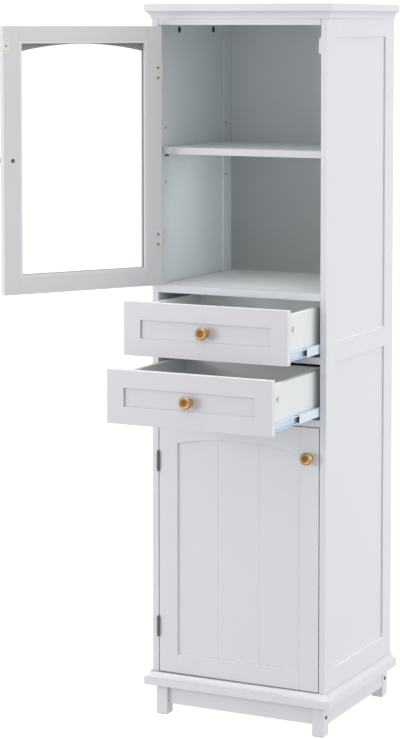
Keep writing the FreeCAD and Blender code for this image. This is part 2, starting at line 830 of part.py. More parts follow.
def door_leaf(z):
    """Leaf that wraps round the door's edge onto its inner face, in the hinge frame."""
    tall = (f"({z}) - hinge_height / 2", "hinge_height")
    edge_start = "door_x - leaf_thickness"
    edge = board((edge_start, "leaf_thickness"), ("0", "door_back + leaf_thickness"), tall)
    face = board((edge_start, "leaf_thickness + leaf_width"), ("door_back", "leaf_thickness"), tall)
    grown = "knuckle_diameter + 2 * knuckle_clearance"
    edge = cut(edge, *outer_barrels(grown, "knuckle_clearance", z))
    barrel = middle_barrel("knuckle_diameter", "-knuckle_clearance / 2", z)
    bores = [knuckle("hinge_pin_diameter + 2 * hinge_pin_clearance", "2 * hinge_height", z)]
    for sign in ("-", "+"):
        bores.append(rod("screw_diameter + 2 * screw_clearance", "2 * leaf_thickness",
                         "door_x + leaf_width / 2", "door_back - leaf_thickness / 2",
                         f"({z}) {sign} leaf_screw_spacing / 2", "y"))
    return cut(joined(edge, face, barrel), *bores)


def hinge_pin(z):
    """Pin with a round finial at each end."""
    parts = [knuckle("hinge_pin_diameter", "hinge_height", z)]
    for sign in ("-", "+"):
        ball = document.addObject("Part::Sphere", "Finial")
        bind(ball, Radius="finial_diameter / 2")
        reach = "(hinge_height / 2 + finial_diameter / 2)"
        parts.append(place(ball, z=f"({z}) {sign} {reach}"))
        neck_start = "hinge_height / 2" if sign == "+" else "-hinge_height / 2 - finial_diameter / 2"
        parts.append(rod("hinge_pin_diameter", "finial_diameter / 2", z=f"({z}) + {neck_start}"))
    return joined(*parts)


def make_carcass_hinge_parts():
    """Frame leaves, pins and screws of all four hinges."""
    leaves, pins = [], []
    for door, heights in HINGES.items():
        for height in heights:
            z = f"{door}_z + {height}"
            leaves.append(place(together([frame_leaf(z)]), "hinge_x", "hinge_y"))
            pins.append(place(together([hinge_pin(z)]), "hinge_x", "hinge_y"))
    node("hinge_frame_leaves", *leaves)
    node("hinge_pins", *pins)
    screws = []
    for y, z in frame_screw_places():
        head_x = "leaf_thickness - inner_half"
        head = rod("screw_head_diameter", "screw_head_height", head_x, y, z, "x")
        shank = rod("screw_diameter", "screw_shank", f"{head_x} - screw_shank", y, z, "x")
        screws.append(joined(head, shank))
    node("hinge_frame_screws", *screws)


# ----------------------------------------------------------------------------------------------
# Doors, in the hinge frame
# ----------------------------------------------------------------------------------------------
DOOR_FRAMES = {
    "upper_door": {"x": "hinge_x", "y": "hinge_y", "z": "upper_door_z", "angle": "-upper_door_angle"},
    "lower_door": {"x": "hinge_x", "y": "hinge_y", "z": "lower_door_z"},
}


def leaf_screw_places(door):
    """Heights of the screws in a door's hinge leaves."""
    heights = []
    for hinge in HINGES[door]:
        heights += [f"{hinge} {sign} leaf_screw_spacing / 2" for sign in ("-", "+")]
    return heights


def door_stile(door, start, rabbet_start, tools):
    """Full-height stile with a rabbet along its inner edge and bores for what is fixed to it."""
    whole = ("0", f"{door}_height")
    plank = board((start, "door_stile_width"), ("door_face", "door_thickness"), whole)
    rabbet = board((rabbet_start, "door_lip_width"), ("door_lip_back", "rabbet_depth"), whole)
    return cut(plank, rabbet, *tools)


def make_door_stiles(door, knob_z):
    """Hinge stile and latch stile."""
    screw_bore = "screw_diameter + 2 * screw_clearance"
    hinge_bores = [
        rod(screw_bore, "screw_length", "door_x + leaf_width / 2", "door_back - screw_length", z, "y")
        for z in leaf_screw_places(door)
    ]
    hinge_stile = door_stile(door, "door_x", "door_x + rabbet_edge", hinge_bores)
    knob_bore = rod("knob_screw_diameter + 2 * screw_clearance", "door_thickness", "knob_x",
                    "door_face", knob_z, "y")
    sink = rod("knob_screw_sink_diameter", "knob_screw_sink", "knob_x",
               "door_back - knob_screw_sink", knob_z, "y")
    strike_bore = rod(screw_bore, "screw_length", "strike_centre_x", "door_back - screw_length",
                      f"{door}_height - catch_drop", "y")
    inner_edge = "door_x + door_width - door_stile_width"
    latch_stile = door_stile(door, inner_edge, inner_edge, [knob_bore, sink, strike_bore])
    node(f"{door}_stiles", hinge_stile, latch_stile, frame=DOOR_FRAMES[door])


def door_rail_layers(arched_body, rabbet_z, rabbet_height):
    """Rail made of its front layer and the longer back layer that fills the stiles' rabbets."""
    back_layer = board(
        ("door_x + rabbet_edge", "rabbet_length"),
        ("door_lip_back", "rabbet_depth"),
        (rabbet_z, rabbet_height),
    )
    return joined(arched_body, back_layer)


def make_door_rails(door, crown_height):
    """Arched top rail and straight bottom rail, coped over the stiles' lips."""
    spring = f"{crown_height} + arch_rise"
    body = new_body("door_x + door_stile_width", "door_face", f"{door}_height - ({spring})")
    arch = [
        ("0", "0"),
        ("rail_length", "0", "arch_radius", "clockwise"),
        ("rail_length", spring),
        ("0", spring),
    ]
    pad(body, outline(body, "XZ_Plane", arch), "door_lip_thickness", backwards=True)
    rabbet = f"{crown_height} - door_lip_width"
    top = door_rail_layers(body, f"{door}_height - ({rabbet})", rabbet)
    node(f"{door}_top_rail", top, frame=DOOR_FRAMES[door])
    lower_layer = board(
        ("door_x + door_stile_width", "rail_length"),
        ("door_face", "door_lip_thickness"),
        ("0", "door_bottom_rail_height"),
    )
    bottom = door_rail_layers(lower_layer, "0", "bottom_rabbet")
    node(f"{door}_bottom_rail", bottom, frame=DOOR_FRAMES[door])


def make_glazing():
    """Glass pane and the four beads that hold it in the rabbet."""
    frame = DOOR_FRAMES["upper_door"]
    left = "door_x + rabbet_edge"
    opening = "upper_door_height - bottom_rabbet - (door_crown_height - door_lip_width)"
    pane = board(
        (f"{left} + glass_clearance", "rabbet_length - 2 * glass_clearance"),
        ("door_lip_back", "glass_thickness"),
        ("bottom_rabbet + glass_clearance", f"{opening} - 2 * glass_clearance"),
    )
    node("upper_door_glass", pane, frame=frame)
    depth = ("door_lip_back + glass_thickness", "rabbet_depth - glass_thickness")
    across = (left, "rabbet_length")
    beads = [
        board(across, depth, ("bottom_rabbet", "bead_width")),
        board(across, depth, (f"bottom_rabbet + {opening} - bead_width", "bead_width")),
    ]
    for x in (left, f"{left} + rabbet_length - bead_width"):
        upright = ("bottom_rabbet + bead_width", f"{opening} - 2 * bead_width")
        beads.append(board((x, "bead_width"), depth, upright))
    node("glazing_beads", *beads, frame=frame)


def make_lower_panel():
    """Panel of the lower door with two upright V grooves that split it into three planks."""
    body = new_body(
        "door_x + rabbet_edge + panel_clearance",
        "door_lip_back",
        "bottom_rabbet + panel_clearance",
    )
    corners = [("0", "0")]
    for third in (1, 2):
        middle = f"door_lip_width - panel_clearance + rail_length * {third} / 3"
        corners.append((f"{middle} - panel_groove_width / 2", "0"))
        corners.append((middle, "panel_groove_depth"))
        corners.append((f"{middle} + panel_groove_width / 2", "0"))
    corners += [("panel_width", "0"), ("panel_width", "rabbet_depth"), ("0", "rabbet_depth")]
    pad(body, outline(body, "XY_Plane", corners), "panel_opening - 2 * panel_clearance")
    node("lower_door_panel", body, frame=DOOR_FRAMES["lower_door"])


def make_knob(x, y, z):
    """Turned brass knob whose base sits at a point and which stands out towards -Y."""
    body = new_body(x, y, z, "180")
    bore = "knob_screw_diameter / 2 + screw_clearance"
    profile = [
        (bore, "0"),
        ("knob_base_diameter / 2", "0"),
        ("knob_base_diameter / 2", "knob_base_thickness"),
        ("knob_neck_diameter / 2", "knob_shoulder", "knob_neck_length * 2", "clockwise"),
        ("knob_diameter / 2", "knob_rim_height", "knob_diameter * 0.4", "counter"),
        ("0", "knob_length", "knob_dome_radius", "counter"),
        ("0", "knob_screw_engagement + blind_gap"),
        (bore, "knob_screw_engagement + blind_gap"),
    ]
    sketch = outline(body, "XY_Plane", profile)
    turned = body.newObject("PartDesign::Revolution", "Turned")
    turned.Profile = sketch
    turned.ReferenceAxis = (sketch, ["V_Axis"])
    turned.Angle = 360
    return body


def knob_screw(x, face, back, z):
    """Machine screw from the back face into a knob."""
    start = f"({face}) - knob_screw_engagement"
    shank = rod("knob_screw_diameter", f"({back}) - ({start})", x, start, z, "y")
    head = rod("knob_screw_head_diameter", "knob_screw_head_height", x, back, z, "y")
    return joined(shank, head)


def strike_plate(middle):
    """Plate for the catch, with a bore for its screw head and a dimple above and below it."""
    plate = board(
        ("strike_x", "strike_width"),
        ("door_back", "strike_thickness"),
        (f"{middle} - strike_height / 2", "strike_height"),
    )
    head_bore = "strike_screw_head_diameter + 2 * screw_clearance"
    holes = [rod(head_bore, "strike_thickness", "strike_centre_x", "door_back", middle, "y")]
    for sign in ("-", "+"):
        holes.append(rod("strike_dimple_diameter", "strike_thickness", "strike_centre_x",
                         "door_back", f"{middle} {sign} strike_dimple_offset", "y"))
    return cut(plate, *holes)


def strike_screw(middle):
    """Screw whose head lies flush in the strike plate."""
    head = rod("strike_screw_head_diameter", "strike_thickness", "strike_centre_x", "door_back",
               middle, "y")
    shank = rod("screw_diameter", "strike_shank", "strike_centre_x", "door_back - strike_shank",
                middle, "y")
    return joined(head, shank)


def make_door_fittings(door, knob_z):
    """Knob, screws, hinge leaves and strike plate of one door."""
    frame = DOOR_FRAMES[door]
    node(f"{door}_knob", make_knob("knob_x", "door_face", knob_z), frame=frame)
    node(f"{door}_hinge_leaves", *[door_leaf(z) for z in HINGES[door]], frame=frame)
    middle = f"{door}_height - catch_drop"
    sunk = "door_back - knob_screw_sink"
    screws = [knob_screw("knob_x", "door_face", sunk, knob_z), strike_screw(middle)]
    for z in leaf_screw_places(door):
        back = "door_back + leaf_thickness"
        x = "door_x + leaf_width / 2"
        head = rod("screw_head_diameter", "screw_head_height", x, back, z, "y")
        shank = rod("screw_diameter", "screw_shank", x, f"{back} - screw_shank", z, "y")
        screws.append(joined(head, shank))
    node(f"{door}_screws", *screws, frame=frame)
    node(f"{door}_strike_plate", strike_plate(middle), frame=frame)


def make_doors():
    """Glazed upper door and panelled lower door."""
    make_door_stiles("upper_door", "upper_door_height / 2")
    make_door_rails("upper_door", "door_crown_height")
    make_glazing()
    make_door_fittings("upper_door", "upper_door_height / 2")
    lower_knob_z = "lower_door_height - lower_knob_drop"
    make_door_stiles("lower_door", lower_knob_z)
    make_door_rails("lower_door", "lower_crown_height")
    make_lower_panel()
    make_door_fittings("lower_door", lower_knob_z)


# ----------------------------------------------------------------------------------------------
# Drawers and slides, in the drawer frame
# ----------------------------------------------------------------------------------------------
def drawer_frame(drawer, share="1"):
    """Frame of a drawer, or of a slide member that makes only a share of its travel."""
    return {"y": f"-half_depth - {drawer}_pull * {share}", "z": f"{drawer}_z"}


def drawer_bottom_box(margin):
    """Drawer bottom, or its groove: the margin is how far it reaches into the box sides."""
    return board(
        (f"-box_inner_half - ({margin})", f"2 * (box_inner_half + ({margin}))"),
        ("drawer_front_thickness", "drawer_box_length"),
        ("drawer_bottom_z", "drawer_bottom_thickness"),
    )


def channel(start, depth, height, web_at_start):
    """C channel along Y on the right-hand side; X is measured inwards from the carcass side."""
    length = ("slide_y", "slide_length")
    far = f"inner_half - ({start}) - ({depth})"
    bar = board((far, depth), length, (f"slide_centre_z - ({height}) / 2", height))
    web_side = "0" if web_at_start else "slide_sheet"
    hollow_height = f"({height}) - 2 * slide_sheet"
    hollow = board(
        (f"{far} + {web_side}", f"({depth}) - slide_sheet"),
        length,
        (f"slide_centre_z - ({hollow_height}) / 2", hollow_height),
    )
    return cut(bar, hollow)


def make_drawer_front(drawer):
    """Front with a recessed field and the bore for the knob's screw."""
    body = new_body("-drawer_front_width / 2")
    whole = rectangle("0", "0", "drawer_front_width", "drawer_front_height")
    pad(body, outline(body, "XZ_Plane", whole), "drawer_front_thickness", backwards=True)
    field = rectangle(
        "drawer_front_stile",
        "drawer_front_rail",
        "drawer_front_width - 2 * drawer_front_stile",
        "drawer_front_height - 2 * drawer_front_rail",
    )
    pocket(body, outline(body, "XZ_Plane", field), "drawer_front_recess")
    bore = rod("knob_screw_diameter + 2 * screw_clearance", "drawer_front_thickness",
               z="drawer_front_height / 2", along="y")
    node(f"{drawer}_front", cut(body, bore), frame=drawer_frame(drawer))


def make_drawer_box(drawer):
    """Box sides with cam locks bored in, box back and bottom."""
    frame = drawer_frame(drawer)
    tall = ("drawer_box_lift", "drawer_box_height")
    plank = board(("box_inner_half", "drawer_wall"),
                  ("drawer_front_thickness", "drawer_box_length"), tall)
    bore = rod("cam_diameter + 2 * cam_clearance", "cam_depth + cam_recess",
               "box_half - cam_depth - cam_recess", "drawer_cam_y", "drawer_cam_z", "x")
    side = cut(plank, bore, drawer_bottom_box("drawer_bottom_groove"))
    above_bottom = "drawer_bottom_z + drawer_bottom_thickness"
    back = board(
        ("-box_inner_half", "2 * box_inner_half"),
        ("box_end - drawer_wall", "drawer_wall"),
        (above_bottom, f"box_top - drawer_back_drop - ({above_bottom})"),
    )
    node(f"{drawer}_box", side, mirrored(side), back, frame=frame)
    bottom = drawer_bottom_box("drawer_bottom_groove - groove_clearance")
    node(f"{drawer}_bottom", bottom, frame=frame)


def make_drawer_fittings(drawer):
    """Knob, cam locks, knob screw and the slide members fixed to the box."""
    frame = drawer_frame(drawer)
    middle = "drawer_front_height / 2"
    node(f"{drawer}_knob", make_knob("0", "drawer_front_recess", middle), frame=frame)
    lock = mirrored(cam_lock("-box_half", "drawer_cam_y", "drawer_cam_z"))
    screw = knob_screw("0", "drawer_front_recess", "drawer_front_thickness", middle)
    node(f"{drawer}_fixings", lock, mirrored(lock), screw, frame=frame)
    member = channel("inner_member_x", "slide_width - inner_member_x", "inner_member_height", False)
    hole_y = "slide_y + slide_hole_setback"
    holes = [
        rod("slide_hole_diameter", "2 * slide_sheet", "box_half - slide_sheet / 2", y,
            "slide_centre_z", "x")
        for y in (hole_y, f"{hole_y} + slide_hole_pitch")
    ]
    member = cut(member, *holes)
    node(f"{drawer}_slide_members", member, mirrored(member), frame=frame)


def make_slides(drawer):
    """Middle slide members, which make half of the drawer's travel."""
    member = channel("middle_member_x", "slide_flange", "middle_member_height", True)
    node(f"{drawer}_middle_members", member, mirrored(member), frame=drawer_frame(drawer, "0.5"))


def make_drawers():
    """Both drawers with their slides."""
    cabinet_members = []
    for drawer in ("upper_drawer", "lower_drawer"):
        make_drawer_front(drawer)
        make_drawer_box(drawer)
        make_drawer_fittings(drawer)
        make_slides(drawer)
        member = channel("0", "slide_flange", "slide_height", True)
        placed = place(together([member, mirrored(member)]), **drawer_frame(drawer, "0"))
        cabinet_members.append(placed)
    node("cabinet_slide_members", *cabinet_members)


# ----------------------------------------------------------------------------------------------
# Checks and export
# ----------------------------------------------------------------------------------------------
def check_model():
    """Stop on any failed object, unsound shape or pocket that cuts nothing."""
    for item in document.Objects:
        if {"Invalid", "Error"} & set(item.State):
            raise RuntimeError(f"{item.Name} ({item.TypeId}) failed: {item.State}")
        if item.TypeId == "PartDesign::Pocket":
            before = item.BaseFeature.Shape.Volume
            if item.Shape.Volume > before - 1e-3:
                raise RuntimeError(f"{item.Name} cuts nothing")
    for item in nodes:
        if item.Shape.isNull() or not item.Shape.isValid() or not item.Shape.Solids:
            raise RuntimeError(f"{item.Label} has no sound shape")


def export_nodes():
    """Write one STEP file for each sub-part."""
    os.makedirs("parts", exist_ok=True)
    for item in nodes:
        item.Shape.exportStep(f"parts/{item.Label}.step")
        print(f"{item.Label}: {len(item.Shape.Solids)} solids, {item.Shape.Volume / 1000:.1f} cm3")
    print(f"{len(nodes)} sub-parts")


sizes = make_sheet()
make_sides()
make_boards()
make_backs()
make_mouldings()
make_base()
make_shelves()
make_cam_locks()
make_catches()
make_carcass_hinge_parts()
make_doors()
make_drawers()
document.recompute()
check_model()
export_nodes()
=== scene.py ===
"""Dresses a tall white bathroom cabinet: eased painted timber, turned brass knobs, glass, hardware.

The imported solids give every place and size.  Timber pieces are softened copies of those solids, and
the small hardware is modelled anew on the places that the solids give.
"""
import logging
import math
from collections.abc import Callable, Iterable, Iterator, Sequence
from contextlib import contextmanager
from dataclasses import dataclass, field
from enum import Enum

import bmesh
import bpy
from mathutils import Matrix, Vector


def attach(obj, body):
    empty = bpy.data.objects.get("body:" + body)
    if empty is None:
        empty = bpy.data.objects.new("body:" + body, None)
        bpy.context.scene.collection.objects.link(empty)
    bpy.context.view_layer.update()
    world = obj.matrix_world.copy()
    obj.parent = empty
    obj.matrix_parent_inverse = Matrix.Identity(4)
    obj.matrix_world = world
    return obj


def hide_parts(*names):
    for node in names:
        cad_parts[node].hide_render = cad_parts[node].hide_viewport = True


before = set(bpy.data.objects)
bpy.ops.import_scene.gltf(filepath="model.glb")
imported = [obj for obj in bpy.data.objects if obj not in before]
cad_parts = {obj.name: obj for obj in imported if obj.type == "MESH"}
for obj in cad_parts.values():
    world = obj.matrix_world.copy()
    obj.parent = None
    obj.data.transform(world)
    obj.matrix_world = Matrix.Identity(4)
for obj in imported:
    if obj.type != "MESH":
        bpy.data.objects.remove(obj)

LOG = logging.getLogger("cabinet")
MM = 0.001
X, Y, Z = Vector((1, 0, 0)), Vector((0, 1, 0)), Vector((0, 0, 1))
HINGE_AXIS = Vector((-0.194, -0.1925, 0))
# How far the barrel of a hinge reaches from its axis
KNUCKLE_REACH = 3.6 * MM
# Vertices nearer to each other than this are one, on copied solids and on turned pieces
WELD = 0.005 * MM
TURNED_WELD = 0.002 * MM
# Faces that differ by less are one flat face, and edges that turn by more are sharp
FLAT_ANGLE = math.radians(0.5)
SHARP_ANGLE = math.radians(30)
# Least cosine between a face's normal and the way that it is said to look
FACING = 0.7
# Height of the head and radius of the shank, in millimetres
KNOB_SCREW = (2.0, 2.0)
LEAF_SCREW = (1.0, 1.6)
# Turned hardware is shaded smooth across edges that turn by fewer degrees than this
TURNED_CREASE = 30.0
# Sockets of a mix node for colours: the factor, the two colours and the result
MIX_FACTOR, MIX_FIRST, MIX_SECOND, MIX_RESULT = 0, 6, 7, 2
# Uneven gloss is this many times finer than the drift of the tone
GLOSS_FINER = 3
# Detail of the noise that makes a surface's bumps, and the strength of those bumps
GRAIN_DETAIL, GRAIN_STRENGTH = 3.0, 0.5


# ------------------------------------------------------------------------------------------------
# Finishes
# ------------------------------------------------------------------------------------------------
def linear(code: str) -> tuple[float, float, float, float]:
    """Turn an sRGB hex value into linear colour, by the curve of that standard.

    Args:
        code: six hex digits.

    Returns:
        Red, green, blue and an alpha of one.
    """
    parts = [int(code[i : i + 2], 16) / 255 for i in (0, 2, 4)]
    return (*[p / 12.92 if p <= 0.04045 else ((p + 0.055) / 1.055) ** 2.4 for p in parts], 1.0)


def add(
    tree: bpy.types.NodeTree,
    kind: str,
    settings: dict[str | int, object] | None = None,
    links: dict[str | int, bpy.types.NodeSocket] | None = None,
) -> bpy.types.Node:
    """Add a node with its settings and links.

    Args:
        tree: the material's node tree.
        kind: the node's type name.
        settings: properties and unlinked sockets by name or number.
        links: the socket that feeds each linked input.

    Returns:
        The new node.
    """
    made = tree.nodes.new(kind)
    for key, value in (settings or {}).items():
        if isinstance(key, int) or key in made.inputs:
            made.inputs[key].default_value = value
        else:
            setattr(made, key, value)
    for key, source in (links or {}).items():
        tree.links.new(source, made.inputs[key])
    return made


class Slot(Enum):
    """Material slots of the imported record."""

    PAINT = "white_paint"
    BOARD = "white_board"
    BRASS = "antique_brass"
    NICKEL = "nickel_hinge"
    ZINC = "zinc_slide"
    STEEL = "fixing_steel"
    PLASTIC = "catch_plastic"
    GLASS = "clear_glass"


@dataclass(frozen=True)
class Finish:
    """A material that starts from what the real surface is.

    Attributes:
        name: the finish in a maker's words.
        slot: the record's slot that it belongs to.
        light: sRGB hex of the lighter tone.
        dark: sRGB hex of the darker tone that drifts through it.
        rough: lowest and highest roughness.
        metallic: one for bare metal.
        ior: index of refraction.
        drift_mm: distance between light and dark areas.
        grain_mm: distance between the bumps of the surface.
        grain_depth_mm: height of those bumps.
    """

    name: str
    slot: Slot
    light: str
    dark: str
    rough: tuple[float, float]
    metallic: float = 0.0
    ior: float = 1.5
    drift_mm: float = 120.0
    grain_mm: float = 2.5
    grain_depth_mm: float = 0.01

    def build(self) -> bpy.types.Material:
        """Build the material once, and return it."""
        made = bpy.data.materials.get(self.name)
        if made:
            return made
        made = bpy.data.materials.new(self.name)
        made.use_nodes = True
        tree = made.node_tree
        tree.nodes.clear()
        place = add(tree, "ShaderNodeTexCoord").outputs["Object"]
        shader = self.shade(tree, place)
        add(tree, "ShaderNodeOutputMaterial", links={"Surface": shader.outputs[0]})
        return made

    def noise(self, tree: bpy.types.NodeTree, place: bpy.types.NodeSocket, size_mm: float,
              detail: float = 2.0) -> bpy.types.NodeSocket:
        """Noise whose bumps are a real distance apart.

        Args:
            tree: the material's node tree.
            place: the coordinates.
            size_mm: the distance between bumps.
            detail: how much finer noise is laid over it.

        Returns:
            The noise value.
        """
        settings = {"Scale": 1 / (size_mm * MM), "Detail": detail}
        return add(tree, "ShaderNodeTexNoise", settings, {"Vector": place}).outputs["Fac"]

    def tone(self, tree: bpy.types.NodeTree,
             place: bpy.types.NodeSocket) -> bpy.types.NodeSocket:
        """Colour that drifts between the lighter and the darker tone.

        Args:
            tree: the material's node tree.
            place: object coordinates.

        Returns:
            The colour.
        """
        settings = {"data_type": "RGBA", MIX_FIRST: linear(self.light),
                    MIX_SECOND: linear(self.dark)}
        links = {MIX_FACTOR: self.noise(tree, place, self.drift_mm)}
        return add(tree, "ShaderNodeMix", settings, links).outputs[MIX_RESULT]

    def shade(self, tree: bpy.types.NodeTree, place: bpy.types.NodeSocket) -> bpy.types.Node:
        """Shade the finish: drifting tone, uneven gloss and a fine surface.

        Args:
            tree: the material's node tree.
            place: object coordinates.

        Returns:
            The shader node.
        """
        tone = self.tone(tree, place)
        gloss = add(tree, "ShaderNodeMapRange", {"To Min": self.rough[0], "To Max": self.rough[1]},
                    {"Value": self.noise(tree, place, self.drift_mm / GLOSS_FINER)})
        bump = add(tree, "ShaderNodeBump",
                   {"Strength": GRAIN_STRENGTH, "Distance": self.grain_depth_mm * MM},
                   {"Height": self.noise(tree, place, self.grain_mm, GRAIN_DETAIL)})
        settings = {"Metallic": self.metallic, "IOR": self.ior}
        links = {"Base Color": tone, "Roughness": gloss.outputs[0], "Normal": bump.outputs[0]}
        return add(tree, "ShaderNodeBsdfPrincipled", settings, links)


@dataclass(frozen=True)
class FloatGlass(Finish):
    """Clear float glass: almost all light passes, with a weak mirror image at a slant."""

    alpha: float = 0.07

    def shade(self, tree: bpy.types.NodeTree, place: bpy.types.NodeSocket) -> bpy.types.Node:
        """Shade thin clear glass whose faint tint drifts a little."""
        tone = self.tone(tree, place)
        settings = {"Roughness": self.rough[0], "IOR": self.ior, "Alpha": self.alpha}
        return add(tree, "ShaderNodeBsdfPrincipled", settings, {"Base Color": tone})


@dataclass(frozen=True)
class StudioPaper(Finish):
    """White studio paper, lit so evenly that it reads as pure white."""

    glow: float = 0.35

    def shade(self, tree: bpy.types.NodeTree, place: bpy.types.NodeSocket) -> bpy.types.Node:
        """Shade matt paper that glows a little, as paper lit from below does."""
        settings = {"Base Color": linear(self.light), "Roughness": self.rough[0],
                    "Emission Color": linear("FFFFFF"), "Emission Strength": self.glow}
        return add(tree, "ShaderNodeBsdfPrincipled", settings)


# Sprayed satin lacquer on smooth fibreboard: cool white, soft sheen, a trace of orange peel
PAINT = Finish("Satin lacquer", Slot.PAINT, "D2D3D7", "CED0D4", (0.36, 0.44))
# The same lacquer on faces that look inwards, painted lighter and slightly green as painted light
# inside the case, and flatter
INSIDE_PAINTED_LIGHT = Finish("Lacquer inside, painted light", Slot.PAINT, "D9DFE0", "D3DADB", (0.48, 0.56))
# Inner face of the glazed door: the same lacquer, a little greyer as painted shade
DOOR_BACK_PAINTED_SHADE = Finish("Door back lacquer, painted shade", Slot.PAINT, "CBCCCE", "C7C8CA", (0.45, 0.52))
# Painted shade: dark, flat grey on the back of the lip behind the glass
RABBET_PAINTED_SHADE = Finish("Rabbet lip, painted shade", Slot.PAINT, "8C8C8E", "7E7F82", (0.7, 0.8))
# Painted highlight and painted light: a brighter lacquer on edges, ledges and corners
EDGE_PAINTED_HIGHLIGHT = Finish("Lacquer with painted highlight", Slot.PAINT, "F1F2F5", "ECEDF0", (0.36, 0.44))
# Fibreboard left bare in a bore, darkened to dark brown-grey as painted shade in the hole
BARE_BOARD_AND_BORE_SHADE = Finish("Fibreboard in bores, painted shade", Slot.PAINT, "3A3733", "2E2B28", (0.8, 0.9), grain_mm=1.0)
# Painted shade: grey lacquer on the walls of a recess, where shade falls
RECESS_PAINTED_SHADE = Finish("Lacquer with painted recess shade", Slot.PAINT, "B6B7BA", "AFB0B3", (0.5, 0.6))
# Painted light: a lacquer a little brighter than the flat face, in grooves and coves
GROOVE_PAINTED_LIGHT = Finish("Lacquer with painted groove light", Slot.PAINT, "DEDFE2", "DADBDE", (0.4, 0.48))
# Lacquer of the drawer fronts and the shelf's edge, a little greyer as painted shade
FRONT_PAINTED_SHADE = Finish("Lacquer with painted shade on fronts", Slot.PAINT, "C9C9CE", "C5C5CA", (0.38, 0.46))
# Melamine foil on chipboard: even, slightly green grey-white, finely dimpled
FOIL = Finish("Melamine foil", Slot.BOARD, "D8DADB", "D3D6D7", (0.42, 0.5), grain_mm=1.5)
# Foil inside the drawers, a brighter white as painted light against their shade, and a little
# glossier
DRAWER_FOIL_PAINTED_LIGHT = Finish("Drawer foil", Slot.BOARD, "F1F3F3", "ECEEEE", (0.4, 0.5), grain_mm=1.5)
# Foil on thin hardboard backs: the same foil, a little duller
BACK_FOIL = Finish("Hardboard foil", Slot.BOARD, "D2D7D7", "CCD2D2", (0.5, 0.6), grain_mm=1.5)
# Turned brass under clear lacquer: warm yellow, bright at the rim
BRASS = Finish("Lacquered brass", Slot.BRASS, "CAAA7E", "BA996C", (0.38, 0.48), 1.0,
               drift_mm=6.0, grain_mm=0.8, grain_depth_mm=0.004)
# Brass toned brown in the dished face before it was lacquered: darker, softer highlights
TONED_BRASS = Finish("Toned brass", Slot.BRASS, "936838", "7F5629", (0.5, 0.6), 1.0,
                     drift_mm=6.0, grain_mm=0.8, grain_depth_mm=0.004)
# Satin nickel plate on pressed steel: warm grey, soft highlights
NICKEL = Finish("Satin nickel", Slot.NICKEL, "D9D4CE", "D0CBC5", (0.35, 0.45), 0.45,
                drift_mm=15.0, grain_mm=0.6, grain_depth_mm=0.004)
# The same plate where it is rubbed and oiled, on barrels, hinge pins and shelf pins: dark grey
DULL_NICKEL = Finish("Oiled nickel", Slot.NICKEL, "6C706B", "5C605B", (0.35, 0.5), 0.6,
                     drift_mm=15.0, grain_mm=0.6, grain_depth_mm=0.004)
# Hinge leaves that were lacquered over with the case: white, with soft edges
LACQUERED_NICKEL = Finish("Lacquer over nickel", Slot.NICKEL, "D6DCDD", "D0D7D8", (0.4, 0.5))
# Bright zinc plate with blue passivation on rolled steel: pale blue, long soft highlights
ZINC = Finish("Blue zinc plate", Slot.ZINC, "D3DEE9", "CAD7E4", (0.4, 0.5), 0.15,
              drift_mm=40.0, grain_mm=0.8, grain_depth_mm=0.004)
# The same plate, deep blue-grey as painted shade inside the case
ZINC_PAINTED_SHADE = Finish("Zinc plate, painted shade", Slot.ZINC, "5F7FA6", "4C6B93", (0.25, 0.4), 1.0,
                      drift_mm=25.0, grain_mm=0.8, grain_depth_mm=0.004)
# Die-cast zinc as cast: dark grey; the same dark grey is painted shade in recesses and dimples
CAST_ZINC_AND_RECESS_SHADE = Finish("Die-cast zinc", Slot.STEEL, "5E6061", "4C4E50", (0.45, 0.6), 1.0,
                   drift_mm=8.0, grain_mm=0.7)
# Die-cast zinc, nickel plated: light grey
PLATED_CAM = Finish("Plated die-cast zinc", Slot.STEEL, "D8D9DA", "CBCCCE", (0.35, 0.5), 1.0,
                    drift_mm=8.0, grain_mm=0.7)
# Zinc-plated screws: mid grey, a little worn
SCREW_STEEL = Finish("Plated screw steel", Slot.STEEL, "9A9996", "83827F", (0.35, 0.5), 1.0,
                     drift_mm=5.0, grain_mm=0.6)
# Moulded white ABS: smooth, faintly warm
ABS = Finish("Moulded ABS", Slot.PLASTIC, "DCDDDC", "D6D7D6", (0.35, 0.45), drift_mm=20.0)
# 4 mm float glass: clear, with a trace of green
GLASS = FloatGlass("Float glass", Slot.GLASS, "EEF8F5", "E9F5F2", (0.02, 0.02), drift_mm=300.0)
# White studio paper on a light table, for the floor and the backdrop
PAPER = StudioPaper("Studio paper", Slot.PAINT, "A0A0A0", "A0A0A0", (0.9, 0.9), glow=0.85)
BACKDROP = StudioPaper("Lit backdrop", Slot.PAINT, "808080", "808080", (0.9, 0.9), glow=1.0)


# ------------------------------------------------------------------------------------------------
# Tools of the bench
# ------------------------------------------------------------------------------------------------
def deselect() -> None:
    """Leave nothing selected."""
    bpy.ops.object.select_all(action="DESELECT")


def take(piece: bpy.types.Object) -> bpy.types.Object:
    """Select one object alone and make it active."""
    deselect()
    piece.select_set(True)
    bpy.context.view_layer.objects.active = piece
    return piece


@contextmanager
def editing(piece: bpy.types.Object) -> Iterator[None]:
    """Edit mode on one object, with all of its mesh selected."""
    take(piece)
    bpy.ops.object.mode_set(mode="EDIT")
    bpy.ops.mesh.select_all(action="SELECT")
    yield
    bpy.ops.object.mode_set(mode="OBJECT")


